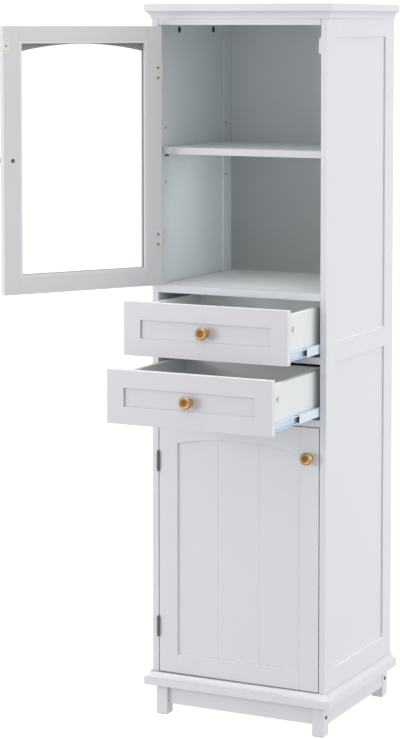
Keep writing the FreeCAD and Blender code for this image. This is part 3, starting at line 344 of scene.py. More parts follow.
def select_edges(piece: bpy.types.Object, wanted: Callable[[bmesh.types.BMEdge], bool]) -> int:
    """Select edges of a piece in edit mode.

    Args:
        piece: the object in edit mode.
        wanted: says whether an edge is selected.

    Returns:
        How many edges are selected.
    """
    bpy.ops.mesh.select_mode(type="EDGE")
    bpy.ops.mesh.select_all(action="DESELECT")
    mesh = bmesh.from_edit_mesh(piece.data)
    count = 0
    for edge in mesh.edges:
        edge.select = wanted(edge)
        count += edge.select
    bmesh.update_edit_mesh(piece.data)
    return count


def smooth(piece: bpy.types.Object, degrees: float = 35.0) -> bpy.types.Object:
    """Shade a piece smooth except across sharp edges."""
    take(piece)
    bpy.ops.object.shade_smooth_by_angle(angle=math.radians(degrees))
    return piece


def flatten(piece: bpy.types.Object) -> bpy.types.Object:
    """Let large faces keep their own normal, so that they shade flat between rounded edges."""
    take(piece)
    weigh = piece.modifiers.new("flats", "WEIGHTED_NORMAL")
    weigh.keep_sharp = True
    bpy.ops.object.modifier_apply(modifier=weigh.name)
    return piece


def settle(piece: bpy.types.Object, placing: Matrix) -> bpy.types.Object:
    """Move a mesh to its place in the row frame, with its object left at the origin."""
    piece.data.transform(placing)
    return piece


def join(name: str, pieces: Sequence[bpy.types.Object]) -> bpy.types.Object:
    """Join pieces into one object.

    Args:
        name: the joined object's name.
        pieces: the pieces; the first one stays.

    Returns:
        The joined object.
    """
    deselect()
    for piece in pieces:
        piece.select_set(True)
    bpy.context.view_layer.objects.active = pieces[0]
    if len(pieces) > 1:
        bpy.ops.object.join()
    pieces[0].name = name
    return pieces[0]


def copy_of(piece: bpy.types.Object, name: str) -> bpy.types.Object:
    """Copy of an object with a mesh of its own."""
    twin = piece.copy()
    twin.data = piece.data.copy()
    twin.parent = None
    twin.name = name
    bpy.context.scene.collection.objects.link(twin)
    return twin


def remove(piece: bpy.types.Object) -> None:
    """Take a pattern piece out of the scene."""
    bpy.data.objects.remove(piece)


@dataclass(frozen=True)
class Block:
    """Box round one solid of a node, in the frame of its sub-assembly."""

    low: Vector
    high: Vector

    @property
    def middle(self) -> Vector:
        """Middle of the box."""
        return (self.low + self.high) / 2

    @property
    def size(self) -> Vector:
        """Length of the box along each axis."""
        return self.high - self.low


def blocks(node: str, placing: Matrix) -> list[Block]:
    """Boxes round each solid of a node.

    Args:
        node: the CAD node.
        placing: matrix from the sub-assembly's frame to the row frame.

    Returns:
        One box for each solid, from low to high.
    """
    mesh = bmesh.new()
    mesh.from_mesh(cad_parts[node].data)
    mesh.transform(placing.inverted())
    bmesh.ops.remove_doubles(mesh, verts=mesh.verts, dist=WELD)
    found, seen = [], set()
    for start in mesh.verts:
        if start in seen:
            continue
        group, queue = [], [start]
        seen.add(start)
        while queue:
            vertex = queue.pop()
            group.append(vertex.co)
            for edge in vertex.link_edges:
                other = edge.other_vert(vertex)
                if other not in seen:
                    seen.add(other)
                    queue.append(other)
        low = Vector([min(point[i] for point in group) for i in range(3)])
        high = Vector([max(point[i] for point in group) for i in range(3)])
        found.append(Block(low, high))
    mesh.free()
    return sorted(found, key=lambda b: (round(b.middle.z, 4), round(b.middle.x, 4), b.middle.y))


class Ease(Enum):
    """Width of a rounded edge, and the length under which an edge stays sharp, in millimetres.

    Short edges stay sharp so that small bores keep their shape.  A width of none leaves the
    solid's own faces.
    """

    SANDED = (0.7, 6.0)
    SOFT = (0.6, 6.0)
    BOARD = (0.5, 6.0)
    BACK = (0.4, 6.0)
    THIN = (0.3, 6.0)
    PLATE = (0.2, 6.0)
    ROLLED = (0.3, 5.0)
    PRESSED = (0.2, 1.5)
    AS_CUT = (0.0, 6.0)


def eased(node: str, ease: Ease = Ease.SANDED) -> bpy.types.Object:
    """Softened copy of a node: its long sharp edges are rounded as sanding leaves them.

    Args:
        node: the CAD node.
        ease: how its edges are rounded.

    Returns:
        The copy.
    """
    width_mm, shortest_mm = ease.value
    piece = copy_of(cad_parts[node], f"{node}_eased")
    for key in list(piece.keys()):
        del piece[key]
    with editing(piece):
        bpy.ops.mesh.remove_doubles(threshold=WELD)
        if width_mm:
            bpy.ops.mesh.dissolve_limited(angle_limit=FLAT_ANGLE)
            count = select_edges(
                piece,
                lambda edge: len(edge.link_faces) == 2
                and edge.calc_face_angle(0) > SHARP_ANGLE
                and edge.calc_length() > shortest_mm * MM,
            )
            if count:
                bpy.ops.mesh.bevel(offset=width_mm * MM, segments=2, affect="EDGES")
    return flatten(smooth(piece))


def turned(name: str, profile_mm: Sequence[tuple[float, float]], steps: int = 48) -> bpy.types.Object:
    """Turn a piece on the lathe, standing on the origin along +Z.

    Args:
        name: the piece's name.
        profile_mm: radius and height of each point, from the foot to the crown.
        steps: faces round the piece.

    Returns:
        The closed piece.
    """
    deselect()
    first = Vector((profile_mm[0][0], 0, profile_mm[0][1])) * MM
    bpy.ops.mesh.primitive_plane_add(size=MM, location=(0, 0, 0))
    piece = bpy.context.object
    piece.name = name
    with editing(piece):
        bpy.ops.mesh.select_mode(type="VERT")
        bpy.ops.mesh.select_all(action="SELECT")
        bpy.ops.mesh.merge(type="CENTER")
        bpy.ops.transform.translate(value=first)
        last = first
        for radius, height in profile_mm[1:]:
            point = Vector((radius, 0, height)) * MM
            bpy.ops.mesh.extrude_region_move(TRANSFORM_OT_translate={"value": point - last})
            last = point
        bpy.ops.mesh.select_all(action="SELECT")
        bpy.ops.mesh.spin(steps=steps, angle=math.tau, center=(0, 0, 0), axis=(0, 0, 1))
        bpy.ops.mesh.select_all(action="SELECT")
        bpy.ops.mesh.remove_doubles(threshold=TURNED_WELD)
        bpy.ops.mesh.normals_make_consistent(inside=False)
    return smooth(piece, TURNED_CREASE)


def crossed(piece: bpy.types.Object, top_mm: float, arm_mm: float, wide_mm: float,
            deep_mm: float) -> bpy.types.Object:
    """Sink a cross recess into the crown of a turned piece.

    Args:
        piece: the turned piece.
        top_mm: height of its crown.
        arm_mm: length of each bar of the cross.
        wide_mm: width of each bar.
        deep_mm: depth of the recess.

    Returns:
        The piece.
    """
    taper = 0.6
    same_height = 1e-7
    for size in ((arm_mm, wide_mm), (wide_mm, arm_mm)):
        deselect()
        bpy.ops.mesh.primitive_cube_add(size=1, location=(0, 0, top_mm * MM))
        bar = bpy.context.object
        with editing(bar):
            bpy.ops.transform.resize(value=(size[0] * MM, size[1] * MM, 2 * deep_mm * MM))
            mesh = bmesh.from_edit_mesh(bar.data)
            low = min(v.co.z for v in mesh.verts)
            bpy.ops.mesh.select_mode(type="FACE")
            bpy.ops.mesh.select_all(action="DESELECT")
            for face in mesh.faces:
                face.select = all(abs(v.co.z - low) < same_height for v in face.verts)
            bmesh.update_edit_mesh(bar.data)
            bpy.ops.transform.resize(value=(taper, taper, 1), center_override=(0, 0, low))
        settle(bar, Matrix.Translation(bar.location))
        bar.location = (0, 0, 0)
        take(piece)
        cutter = piece.modifiers.new("cross", "BOOLEAN")
        cutter.object = bar
        cutter.operation = "DIFFERENCE"
        cutter.solver = "EXACT"
        bpy.ops.object.modifier_apply(modifier=cutter.name)
        remove(bar)
    return smooth(piece, TURNED_CREASE)


def pointing(where: Vector, direction: Vector) -> Matrix:
    """Matrix that stands a piece made along +Z on a point, facing a direction."""
    turn = Z.rotation_difference(direction).to_matrix().to_4x4()
    return Matrix.Translation(where) @ turn


@dataclass
class SubAssembly:
    """Pieces that ride on one CAD body.

    Attributes:
        body: the CAD body.
        placing: matrix from the sub-assembly's own frame to the row frame.
    """

    body: str
    placing: Matrix = field(default_factory=Matrix)

    def fit(self, piece: bpy.types.Object, finish: Finish, *nodes: str) -> bpy.types.Object:
        """Give a finished piece its finish and its body.

        Args:
            piece: the piece, in the row frame.
            finish: its main finish.
            nodes: the CAD nodes that it stands for.

        Returns:
            The piece.
        """
        piece.data.materials.clear()
        piece.data.materials.append(finish.build())
        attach(piece, self.body)
        if nodes:
            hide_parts(*nodes)
        LOG.info("%s rides on %s", piece.name, self.body)
        return piece

    def softened(self, node: str, finish: Finish, ease: Ease = Ease.SANDED) -> bpy.types.Object:
        """Stand a softened copy in for a node.

        Args:
            node: the CAD node.
            finish: its finish.
            ease: how its edges are rounded.

        Returns:
            The copy.
        """
        return self.fit(eased(node, ease), finish, node)

    def repaint(self, piece: bpy.types.Object, finish: Finish, towards: Vector | None,
                where: Callable[[Vector], bool] = lambda centre: True,
                largest_mm2: float = math.inf) -> None:
        """Give another finish to some faces.

        Args:
            piece: the piece.
            finish: the other finish.
            towards: the way that they look, in the sub-assembly's frame; None for every way.
            where: keeps only faces whose centre, in that frame, passes.
            largest_mm2: keeps only faces up to this area.
        """
        piece.data.materials.append(finish.build())
        index = len(piece.data.materials) - 1
        back = self.placing.inverted()
        direction = self.placing.to_3x3() @ towards if towards else None
        for face in piece.data.polygons:
            if face.area > largest_mm2 * MM * MM:
                continue
            turned_away = direction and face.normal.dot(direction) < FACING
            if not turned_away and where(back @ face.center):
                face.material_index = index

    def knob(self) -> None:
        """Stand a turned knob on the front, with toned brass in its dished face."""
        node = f"{self.body}_knob"
        block = blocks(node, self.placing)[0]
        foot = Vector((block.middle.x, block.high.y, block.middle.z))
        pattern = Knob()
        placing = self.placing @ pointing(foot, -Y)
        piece = self.fit(settle(pattern.make(f"{node}_turned"), placing), BRASS, node)
        piece.data.materials.append(TONED_BRASS.build())
        back = placing.inverted()
        for face in piece.data.polygons:
            centre = back @ face.center
            if centre.xy.length < pattern.dish_mm * MM and centre.z > pattern.dish_from_mm * MM:
                face.material_index = 1

    def carry_over(self, node: str, finish: Finish) -> None:
        """Keep a CAD node as it is, with a finish of its own."""
        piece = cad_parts[node]
        piece.data.materials.clear()
        piece.data.materials.append(finish.build())
        LOG.info("%s keeps its solid", node)

    def repeated(self, node: str, pattern: Callable[[Block], bpy.types.Object],
                 direction: Callable[[Block], Vector], finish: Finish) -> bpy.types.Object:
        """Stand detailed copies in for the solids of a node that repeats one small piece.

        Args:
            node: the CAD node.
            pattern: makes the piece, along +Z with its foot at the origin, for a solid's box.
            direction: the way that the piece points, in the sub-assembly's frame.
            finish: its finish.

        Returns:
            The joined piece.
        """
        made = []
        for block in blocks(node, self.placing):
            way = direction(block)
            reach = abs(block.size.dot(way))
            foot = block.middle - way * reach / 2
            piece = pattern(block)
            made.append(settle(piece, self.placing @ pointing(foot, way)))
        return self.fit(join(f"{node}_detail", made), finish, node)


# ------------------------------------------------------------------------------------------------
# Small hardware
# ------------------------------------------------------------------------------------------------
@dataclass(frozen=True)
class Screw:
    """Pan-head screw with a cross recess.

    Attributes:
        head_mm: radius of the head.
        thick_mm: height of the head.
        shank_mm: radius of the shank.
        point: radius of the blunt point, as a share of the shank's.
        taper_mm: heights where the taper behind the point starts and ends.
        crown: points of the head, as shares of its radius and its height.
        cross: length and width of the recess's bars as shares of the head's radius, and their
            depth as a share of its height.
        steps: faces round the screw.
    """

    head_mm: float = 3.2
    thick_mm: float = 1.0
    shank_mm: float = 1.6
    point: float = 0.3
    taper_mm: tuple[float, float] = (0.4, 2.6)
    crown: tuple[tuple[float, float], ...] = (
        (0.97, 0.0), (1.0, 0.3), (0.9, 0.75), (0.6, 1.0), (0.0, 1.0),
    )
    cross: tuple[float, float, float] = (1.1, 0.24, 0.7)
    steps: int = 32

    def make(self, length_mm: float) -> bpy.types.Object:
        """Make the screw, point down, with its tip on the origin.

        Args:
            length_mm: whole length.

        Returns:
            The screw.
        """
        shoulder = length_mm - self.thick_mm
        start, end = self.taper_mm
        arm, wide, deep = self.cross
        profile = [
            (0, 0),
            (self.shank_mm * self.point, start),
            (self.shank_mm, end),
            (self.shank_mm, shoulder),
            *[(self.head_mm * out, shoulder + self.thick_mm * up) for out, up in self.crown],
        ]
        return crossed(turned("screw", profile, self.steps), length_mm, self.head_mm * arm,
                       self.head_mm * wide, self.thick_mm * deep)


@dataclass(frozen=True)
class CamLock:
    """Cam lock disc with a cross recess and a chamfered rim.

    Attributes:
        radius_mm: radius of the disc.
        chamfer_mm: width of the chamfer.
        rim_mm: where the rim's inner slope starts and ends, from the disc's edge.
        sunk_mm: depth of the face inside the rim.
        cross: length and width of the recess's bars, as shares of the radius.
        cross_mm: depth of the recess.
        steps: faces round the disc.
    """

    radius_mm: float = 7.5
    chamfer_mm: float = 0.6
    rim_mm: tuple[float, float] = (1.6, 1.9)
    sunk_mm: float = 0.4
    cross: tuple[float, float] = (1.25, 0.27)
    cross_mm: float = 1.8
    steps: int = 40

    def make(self, depth_mm: float) -> bpy.types.Object:
        """Make the disc, with its back on the origin."""
        edge, face = self.radius_mm, depth_mm - self.sunk_mm
        start, end = self.rim_mm
        arm, wide = self.cross
        profile = [
            (0, 0),
            (edge, 0),
            (edge, depth_mm - self.chamfer_mm),
            (edge - self.chamfer_mm, depth_mm),
            (edge - start, depth_mm),
            (edge - end, face),
            (0, face),
        ]
        return crossed(turned("cam", profile, self.steps), depth_mm, edge * arm, edge * wide,
                       self.cross_mm)


@dataclass(frozen=True)
class ShelfPin:
    """Shelf pin with a collar and a rounded end.

    Attributes:
        radius_mm: radius of the shank.
        foot_mm: radius of the end in the bore, and height of its chamfer.
        collar_mm: heights where the collar starts and ends.
        tip_mm: radius and length of the rounded end under the shelf.
        steps: faces round the pin.
    """

    radius_mm: float = 2.5
    foot_mm: tuple[float, float] = (2.2, 0.4)
    collar_mm: tuple[float, float] = (8.0, 9.5)
    tip_mm: tuple[float, float] = (1.7, 0.8)
    steps: int = 28

    def make(self, flange_mm: float, length_mm: float) -> bpy.types.Object:
        """Make the pin, with the end in the bore on the origin.

        Args:
            flange_mm: radius of the collar.
            length_mm: whole length.

        Returns:
            The pin.
        """
        shank, (foot, chamfer), (tip, rounding) = self.radius_mm, self.foot_mm, self.tip_mm
        low, high = self.collar_mm
        profile = [(0, 0), (foot, 0), (shank, chamfer), (shank, low), (flange_mm, low),
                   (flange_mm, high), (shank, high), (shank, length_mm - rounding),
                   (tip, length_mm), (0, length_mm)]
        return turned("pin", profile, self.steps)


@dataclass(frozen=True)
class Knob:
    """Turned knob: stepped foot, waisted neck, and a head with a raised rim round a dished face.

    Attributes:
        dish_mm: radius of the dished face.
        dish_from_mm: height above the foot over which the dished face lies.
        bore_mm: radius and depth of the bore for its screw.
        steps: faces round the knob.
        profile_mm: radius and height of each point of the turning.
    """

    dish_mm: float = 8.0
    dish_from_mm: float = 20.0
    bore_mm: tuple[float, float] = (2.1, 12.0)
    steps: int = 64
    profile_mm: tuple[tuple[float, float], ...] = (
        (2.1, 0.0), (8.7, 0.0), (9.0, 0.3), (9.0, 1.5), (8.5, 2.0), (7.6, 2.2), (6.5, 3.6),
        (5.8, 5.6), (5.5, 8.0), (5.7, 10.0), (6.8, 12.0), (9.4, 13.8), (12.2, 15.2), (13.5, 16.6),
        (14.0, 18.4), (14.0, 19.6), (13.6, 21.4), (12.7, 23.2), (11.6, 24.5), (10.6, 25.0),
        (9.8, 24.7), (9.2, 23.9), (7.5, 23.2), (4.0, 22.7), (0.0, 22.5),
    )

    def make(self, name: str) -> bpy.types.Object:
        """Make the knob with its foot on the origin."""
        radius, depth = self.bore_mm
        profile = (*self.profile_mm, (0.0, depth), (radius, depth), (radius, 0.0))
        return turned(name, profile, self.steps)


# ------------------------------------------------------------------------------------------------
# Sub-assemblies
# ------------------------------------------------------------------------------------------------
@dataclass
class Carcass(SubAssembly):
    """The fixed case with its sides, boards, mouldings, legs and fixed hardware.

    Attributes:
        recess: the sides' faces farther out than this are edges of the panels' recess.
        bore_mm2: largest face inside the bore of a shelf pin.
        bore_from: where those bores start, from the middle of the case.
        bore_to: where they end.
        bore_half: how far towards the front and the back they are looked for.
        leg_screw: the screw in the side of each leg.
        painted: timber nodes with lacquer all over.
        foiled: boards with foil, and lacquer on the front edge.
    """

    body: str = "carcass"
    recess: float = 0.2045
    bore_mm2: float = 30.0
    bore_from: float = 0.1953
    bore_to: float = 0.2085
    bore_half: float = 0.16
    leg_screw: Screw = Screw(4.5, 1.0, 1.6)
    painted: tuple[str, ...] = (
        "side_panels", "left_side_stiles", "left_side_rails", "right_side_stiles",
        "right_side_rails", "top_board", "head_rail", "plinth_board", "legs", "cross_aprons",
        "side_aprons", "drawer_divider_rail", "crown_moulding", "plinth_moulding",
    )
    foiled: tuple[str, ...] = (
        "compartment_floor", "drawer_deck", "bottom_board", "adjustable_shelf", "lower_shelf",
    )

    def build(self) -> None:
        """Build every piece of the case."""
        for node in self.painted:
            piece = self.softened(node, PAINT)
            if "side" in node and "apron" not in node:
                self.finish_side(piece)
            if node == "plinth_moulding":
                # Painted light on the plinth cove's faces that look up and forward
                self.repaint(piece, GROOVE_PAINTED_LIGHT, (Z - Y).normalized())
        for node in self.foiled:
            board = self.softened(node, FOIL, Ease.BOARD)
            # Painted shade: a greyer lacquer on the shelves' front edges
            self.repaint(board, FRONT_PAINTED_SHADE if "shelf" in node else PAINT, -Y)
        self.softened("back_panels", BACK_FOIL, Ease.BACK)
        self.hardware()

    def finish_side(self, piece: bpy.types.Object) -> None:
        """Paint light on the inner faces and highlights on the recess edges of a side, and dark bare
        board with painted shade in its bores.
        """
        # Painted light: a lighter, greener lacquer on the faces that look into the case
        self.repaint(piece, INSIDE_PAINTED_LIGHT, X, lambda c: c.x < 0)
        self.repaint(piece, INSIDE_PAINTED_LIGHT, -X, lambda c: c.x > 0)
        for way in (Y, -Y, Z, -Z):
            # Painted highlight on the edges of the recess
            self.repaint(piece, EDGE_PAINTED_HIGHLIGHT, way, lambda c: abs(c.x) > self.recess)
        # Painted shade: dark bare board in the shelf pins' bores
        self.repaint(piece, BARE_BOARD_AND_BORE_SHADE, None, self.in_bore, self.bore_mm2)

    def in_bore(self, centre: Vector) -> bool:
        """Say whether a point lies in the depth of the shelf pins' bores."""
        return self.bore_from < abs(centre.x) < self.bore_to and abs(centre.y) < self.bore_half

    def hardware(self) -> None:
        """Pins, cams, catches, slides, hinge leaves and screws."""
        screw = Screw()
        self.repeated("hinge_frame_screws", lambda b: screw.make(b.size.x / MM), lambda b: X,
                      LACQUERED_NICKEL)
        self.repeated("leg_screws", lambda b: self.leg_screw.make(b.size.x / MM),
                      lambda b: X if b.middle.x > 0 else -X, CAST_ZINC_AND_RECESS_SHADE)
        cam = CamLock()
        self.repeated("cam_locks", lambda b: cam.make(b.size.x / MM),
                      lambda b: -X if b.middle.x > 0 else X, CAST_ZINC_AND_RECESS_SHADE)
        self.repeated("shelf_pins", self.shelf_pin, lambda b: -X if b.middle.x > 0 else X,
                      DULL_NICKEL)
        self.softened("magnetic_catches", ABS, Ease.SOFT)
        self.carry_over("hinge_pins", DULL_NICKEL)
        leaves = self.softened("hinge_frame_leaves", LACQUERED_NICKEL, Ease.AS_CUT)
        self.repaint(leaves, DULL_NICKEL, None, self.in_knuckle)
        # Painted shade: deep blue-grey on the slide members inside the case
        self.softened("cabinet_slide_members", ZINC_PAINTED_SHADE, Ease.ROLLED)

    def in_knuckle(self, centre: Vector) -> bool:
        """Say whether a point belongs to the barrel of a hinge."""
        return (centre - HINGE_AXIS).xy.length < KNUCKLE_REACH

    def shelf_pin(self, block: Block) -> bpy.types.Object:
        """Shelf pin that fits a solid's box."""
        return ShelfPin().make(block.size.y / MM / 2, block.size.x / MM)


@dataclass
class Door(SubAssembly):
    """A framed door on two butt hinges.

    Attributes:
        open_degrees: how far it stands open at rest.
        back_finish: finish of its inner face.
        middle: distance from the hinge axis to the door's middle.
        groove_mm: least and greatest depth of the panel's grooves behind its face.
        dimple_mm2: largest face of the strike plate's dimples.
        large_head_mm: screws with a head of a greater radius hold a knob.
    """

    body: str = "lower_door"
    open_degrees: float = 0.0
    back_finish: Finish = PAINT
    middle: float = 0.194
    groove_mm: tuple[float, float] = (0.2, 3.0)
    dimple_mm2: float = 2.0
    large_head_mm: float = 3.5

    def __post_init__(self) -> None:
        """Set the door's frame on its hinge axis."""
        turn = Matrix.Rotation(math.radians(-self.open_degrees), 4, "Z")
        self.placing = Matrix.Translation(HINGE_AXIS) @ turn

    def build(self) -> None:
        """Build the door's timber and hardware."""
        for part in ("stiles", "top_rail", "bottom_rail"):
            piece = self.softened(f"{self.body}_{part}", PAINT, Ease.BOARD)
            # The inner face: painted shade on the glazed door, plain lacquer on the other door
            self.repaint(piece, self.back_finish, Y)
            # Painted highlight on faces that look up
            self.repaint(piece, EDGE_PAINTED_HIGHLIGHT, Z)
            self.paint_frame_light_and_shade(piece)
        self.infill()
        self.hardware()

    def paint_frame_light_and_shade(self, piece: bpy.types.Object) -> None:
        """Paint light into the corner beside the panel, against its shade."""
        # Painted light: brighter lacquer on faces beside the panel, where shade falls
        self.repaint(piece, EDGE_PAINTED_HIGHLIGHT, X, lambda c: c.x < self.middle)

    def infill(self) -> None:
        """Build the grooved panel of a solid door."""
        panel = self.softened(f"{self.body}_panel", PAINT, Ease.THIN)
        face = min((self.placing.inverted() @ v.co).y for v in panel.data.vertices)
        least, most = self.groove_mm
        # Painted light in the panel's grooves, against their shade
        for way in (X - Y, -X - Y):
            self.repaint(panel, GROOVE_PAINTED_LIGHT, way.normalized(),
                         lambda c: least * MM < c.y - face < most * MM)

    def hardware(self) -> None:
        """Knob, screws, hinge leaves and strike plate."""
        self.knob()
        self.repeated(f"{self.body}_screws", self.screw, lambda b: Y, SCREW_STEEL)
        leaves = self.softened(f"{self.body}_hinge_leaves", NICKEL, Ease.PRESSED)
        self.repaint(leaves, DULL_NICKEL, None, lambda c: c.xy.length < KNUCKLE_REACH)
        plate = self.softened(f"{self.body}_strike_plate", NICKEL, Ease.PLATE)
        # Painted shade: dark grey in the strike plate's dimples
        self.repaint(plate, CAST_ZINC_AND_RECESS_SHADE, None, largest_mm2=self.dimple_mm2)

    def screw(self, block: Block) -> bpy.types.Object:
        """Screw that fits a solid's box."""
        head = block.size.x / MM / 2
        kind = KNOB_SCREW if head > self.large_head_mm else LEAF_SCREW
        return Screw(head, *kind).make(block.size.y / MM)


@dataclass
class GlazedDoor(Door):
    """The upper door: a glass pane held by beads.

    Attributes:
        lip_back: faces nearer to the front than this belong to the lip in front of the glass.
    """

    body: str = "upper_door"
    open_degrees: float = 122.0
    # Painted shade: a greyer lacquer on the inner face
    back_finish: Finish = DOOR_BACK_PAINTED_SHADE
    lip_back: float = 0.012

    def paint_frame_light_and_shade(self, piece: bpy.types.Object) -> None:
        """Paint shade on the lip that shows through the glass from behind."""
        # Painted shade: dark grey on the back of the lip in front of the glass
        self.repaint(piece, RABBET_PAINTED_SHADE, Y, lambda c: c.y < self.lip_back)

    def infill(self) -> None:
        """Glass and beads."""
        self.carry_over("upper_door_glass", GLASS)
        self.softened("glazing_beads", PAINT, Ease.AS_CUT)


@dataclass
class Drawer(SubAssembly):
    """A drawer box with its recessed front, knob and slide members.

    Attributes:
        field_half: half the width that holds the recessed field of the front.
        wall_middle: middle of a side wall, from the drawer's middle.
        edge: how far below the front's top its top edge is looked for.
        centre_reach: fixings nearer to the middle than this hold the knob.
        cross_mm: where the cams' cross recesses lie, from the drawer's middle.
        cross_reach_mm: how far they reach from the cam's axis.
    """

    body: str = "upper_drawer"
    field_half: float = 0.17
    wall_middle: float = 0.1765
    edge: float = 0.005
    centre_reach: float = 0.01
    cross_mm: tuple[float, float] = (174.0, 180.6)
    cross_reach_mm: float = 5.5

    def build(self) -> None:
        """Build the drawer."""
        # Painted shade: a greyer lacquer over the front
        front = self.softened(f"{self.body}_front", FRONT_PAINTED_SHADE, Ease.SOFT)
        top = max((self.placing.inverted() @ v.co).z for v in front.data.vertices)
        # Painted highlight on the top edge of the front
        self.repaint(front, EDGE_PAINTED_HIGHLIGHT, Z, lambda c: c.z > top - self.edge)
        # The faces that look right keep the plain lacquer, without the painted shade
        self.repaint(front, PAINT, X)
        # Painted shade: grey on the walls of the front's recess that look right
        self.repaint(front, RECESS_PAINTED_SHADE, X, lambda c: abs(c.x) < self.field_half)
        # Painted light: brighter foil inside the box; its outer faces keep the plain foil
        box = self.softened(f"{self.body}_box", DRAWER_FOIL_PAINTED_LIGHT, Ease.BOARD)
        for way in (X, -X):
            self.repaint(box, FOIL, way, lambda c: c.x * way.x > self.wall_middle)
        self.softened(f"{self.body}_bottom", DRAWER_FOIL_PAINTED_LIGHT, Ease.THIN)
        self.softened(f"{self.body}_slide_members", ZINC, Ease.ROLLED)
        self.knob()
        self.fixings()

    def fixings(self) -> None:
        """Cam locks in the sides and the screw of the knob."""
        node = f"{self.body}_fixings"
        made = []
        for block in blocks(node, self.placing):
            if abs(block.middle.x) < self.centre_reach:
                screw = Screw(block.size.x / MM / 2, *KNOB_SCREW).make(block.size.y / MM)
                foot = Vector((block.middle.x, block.low.y, block.middle.z))
                made.append(settle(screw, pointing(foot, Y)))
                continue
            way = X if block.middle.x > 0 else -X
            cam = CamLock().make(block.size.x / MM)
            made.append(settle(cam, pointing(block.middle - way * block.size.x / 2, way)))
            axis = block.middle
        piece = self.fit(join(f"{node}_detail", made), PLATED_CAM, node)
        least, most = self.cross_mm
        # Painted shade: dark grey in the cams' cross recesses
        self.repaint(piece, CAST_ZINC_AND_RECESS_SHADE, None, lambda c: least * MM < abs(c.x) < most * MM
                     and (c - axis).yz.length < self.cross_reach_mm * MM)


@dataclass
class SlideMiddle(SubAssembly):
    """Middle members of a pair of slides."""

    body: str = "upper_slide_middle"
    node: str = "upper_drawer_middle_members"

    def build(self) -> None:
        """Soften the rolled channels."""
        self.softened(self.node, ZINC, Ease.ROLLED)


# ------------------------------------------------------------------------------------------------
# Studio
# ------------------------------------------------------------------------------------------------
@dataclass(frozen=True)
class Lamp:
    """Square softbox.

    Attributes:
        name: the light's name.
        at: its place in metres.
        size: length of its side in metres.
        power: watts.
        target: the point that it looks at, usually the middle of the cabinet.
    """

    name: str
    at: tuple[float, float, float]
    size: float
    power: float
    target: tuple[float, float, float] = (0, 0, 0.8)

    def hang(self) -> None:
        """Hang the lamp in the scene."""
        lamp = bpy.data.lights.new(self.name, "AREA")
        lamp.size = self.size
        lamp.energy = self.power
        light = bpy.data.objects.new(self.name, lamp)
        light.location = self.at
        way = Vector(self.target) - Vector(self.at)
        light.rotation_euler = way.to_track_quat("-Z", "Y").to_euler()
        bpy.context.scene.collection.objects.link(light)


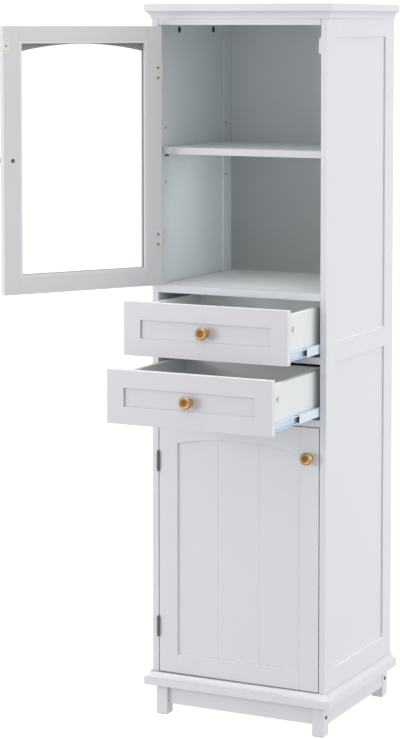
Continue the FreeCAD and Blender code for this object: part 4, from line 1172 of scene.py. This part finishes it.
@dataclass(frozen=True)
class Studio:
    """White studio: paper floor, bright surroundings, soft lights and the camera.

    Attributes:
        camera_at: the camera's place in metres.
        camera_turn: its turn about each axis in degrees.
        lens_mm: focal length of the camera.
        sensor_mm: longer side of its sensor.
        shift_y: upward shift of the picture.
        above: strength of the light from straight above.
        below: strength of the light from straight below.
        floor_side: side of the paper floor in metres.
        backdrop_side: side of the backdrop in metres.
        backdrop_away: distance from the cabinet to the backdrop in metres.
        lamps: the softboxes, the last two small ones inside the glazed compartment.
    """

    camera_at: tuple[float, float, float] = (2.153, -4.678, 1.540)
    camera_turn: tuple[float, float, float] = (85.94, 0.0, 26.57)
    lens_mm: float = 112.24
    sensor_mm: float = 36.0
    shift_y: float = -0.2442
    above: float = 1.0
    below: float = 0.66
    floor_side: float = 40.0
    backdrop_side: float = 12.0
    backdrop_away: float = 14.0
    lamps: tuple[Lamp, ...] = (
        Lamp("key_light", (-2.0, -2.9, 1.1), 1.0, 35.0),
        Lamp("side_light", (4.0, 1.2, 1.5), 2.4, 68.0),
        Lamp("overhead_light", (0.2, -0.6, 5.2), 1.6, 60.0),
        Lamp("compartment_light", (0, -0.17, 1.15), 0.16, 0.26, (0, 0.2, 1.12)),
        Lamp("shelf_light", (0, -0.17, 1.44), 0.14, 0.05, (0, 0.2, 1.34)),
    )

    def build(self) -> None:
        """Build the studio."""
        self.floor()
        self.backdrop()
        self.surroundings()
        for lamp in self.lamps:
            lamp.hang()
        self.camera()
        bpy.context.scene.view_settings.view_transform = "Standard"

    def floor(self) -> None:
        """Paper floor that reaches past every view."""
        deselect()
        bpy.ops.mesh.primitive_plane_add(size=self.floor_side, location=(0, 0, 0))
        paper = bpy.context.object
        paper.name = "studio_floor"
        paper.data.materials.append(PAPER.build())
        self.only_seen(paper)

    def backdrop(self) -> None:
        """Lit white backdrop far behind the cabinet, square to the camera."""
        deselect()
        turn = math.radians(self.camera_turn[2])
        away = Vector((-math.sin(turn), math.cos(turn), 0)) * self.backdrop_away
        bpy.ops.mesh.primitive_plane_add(
            size=self.backdrop_side, location=away, rotation=(math.radians(90), 0, turn)
        )
        sheet = bpy.context.object
        sheet.name = "studio_backdrop"
        sheet.data.materials.append(BACKDROP.build())
        self.only_seen(sheet)

    def only_seen(self, sheet: bpy.types.Object) -> None:
        """Let a sheet fill the picture without lighting the cabinet."""
        sheet.visible_diffuse = False
        sheet.visible_glossy = False
        sheet.visible_shadow = False

    def surroundings(self) -> None:
        """White light from all round, stronger from above."""
        world = bpy.data.worlds.new("white_surroundings")
        world.use_nodes = True
        tree = world.node_tree
        background = tree.nodes["Background"]
        background.inputs["Color"].default_value = linear("FFFFFF")
        way = add(tree, "ShaderNodeTexCoord").outputs["Generated"]
        height = add(tree, "ShaderNodeSeparateXYZ", links={0: way}).outputs["Z"]
        strength = add(tree, "ShaderNodeMapRange", {"From Min": -1.0, "From Max": 1.0,
                       "To Min": self.below, "To Max": self.above}, {"Value": height})
        tree.links.new(strength.outputs[0], background.inputs["Strength"])
        bpy.context.scene.world = world

    def camera(self) -> None:
        """Camera at the photograph's viewing angle."""
        lens = bpy.data.cameras.new("camera")
        lens.lens = self.lens_mm
        lens.sensor_width = self.sensor_mm
        lens.sensor_fit = "AUTO"
        lens.shift_y = self.shift_y
        camera = bpy.data.objects.new("camera", lens)
        camera.location = self.camera_at
        camera.rotation_euler = [math.radians(angle) for angle in self.camera_turn]
        bpy.context.scene.collection.objects.link(camera)
        bpy.context.scene.camera = camera


def main() -> None:
    """Build the cabinet, sub-assembly by sub-assembly, and the studio round it."""
    logging.basicConfig(level=logging.INFO, format="%(name)s: %(message)s")
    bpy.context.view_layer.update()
    for part in (
        Carcass(),
        GlazedDoor(),
        Door(),
        Drawer(),
        Drawer("lower_drawer"),
        SlideMiddle(),
        SlideMiddle("lower_slide_middle", node="lower_drawer_middle_members"),
        Studio(),
    ):
        part.build()


if __name__ == "__main__":
    main()
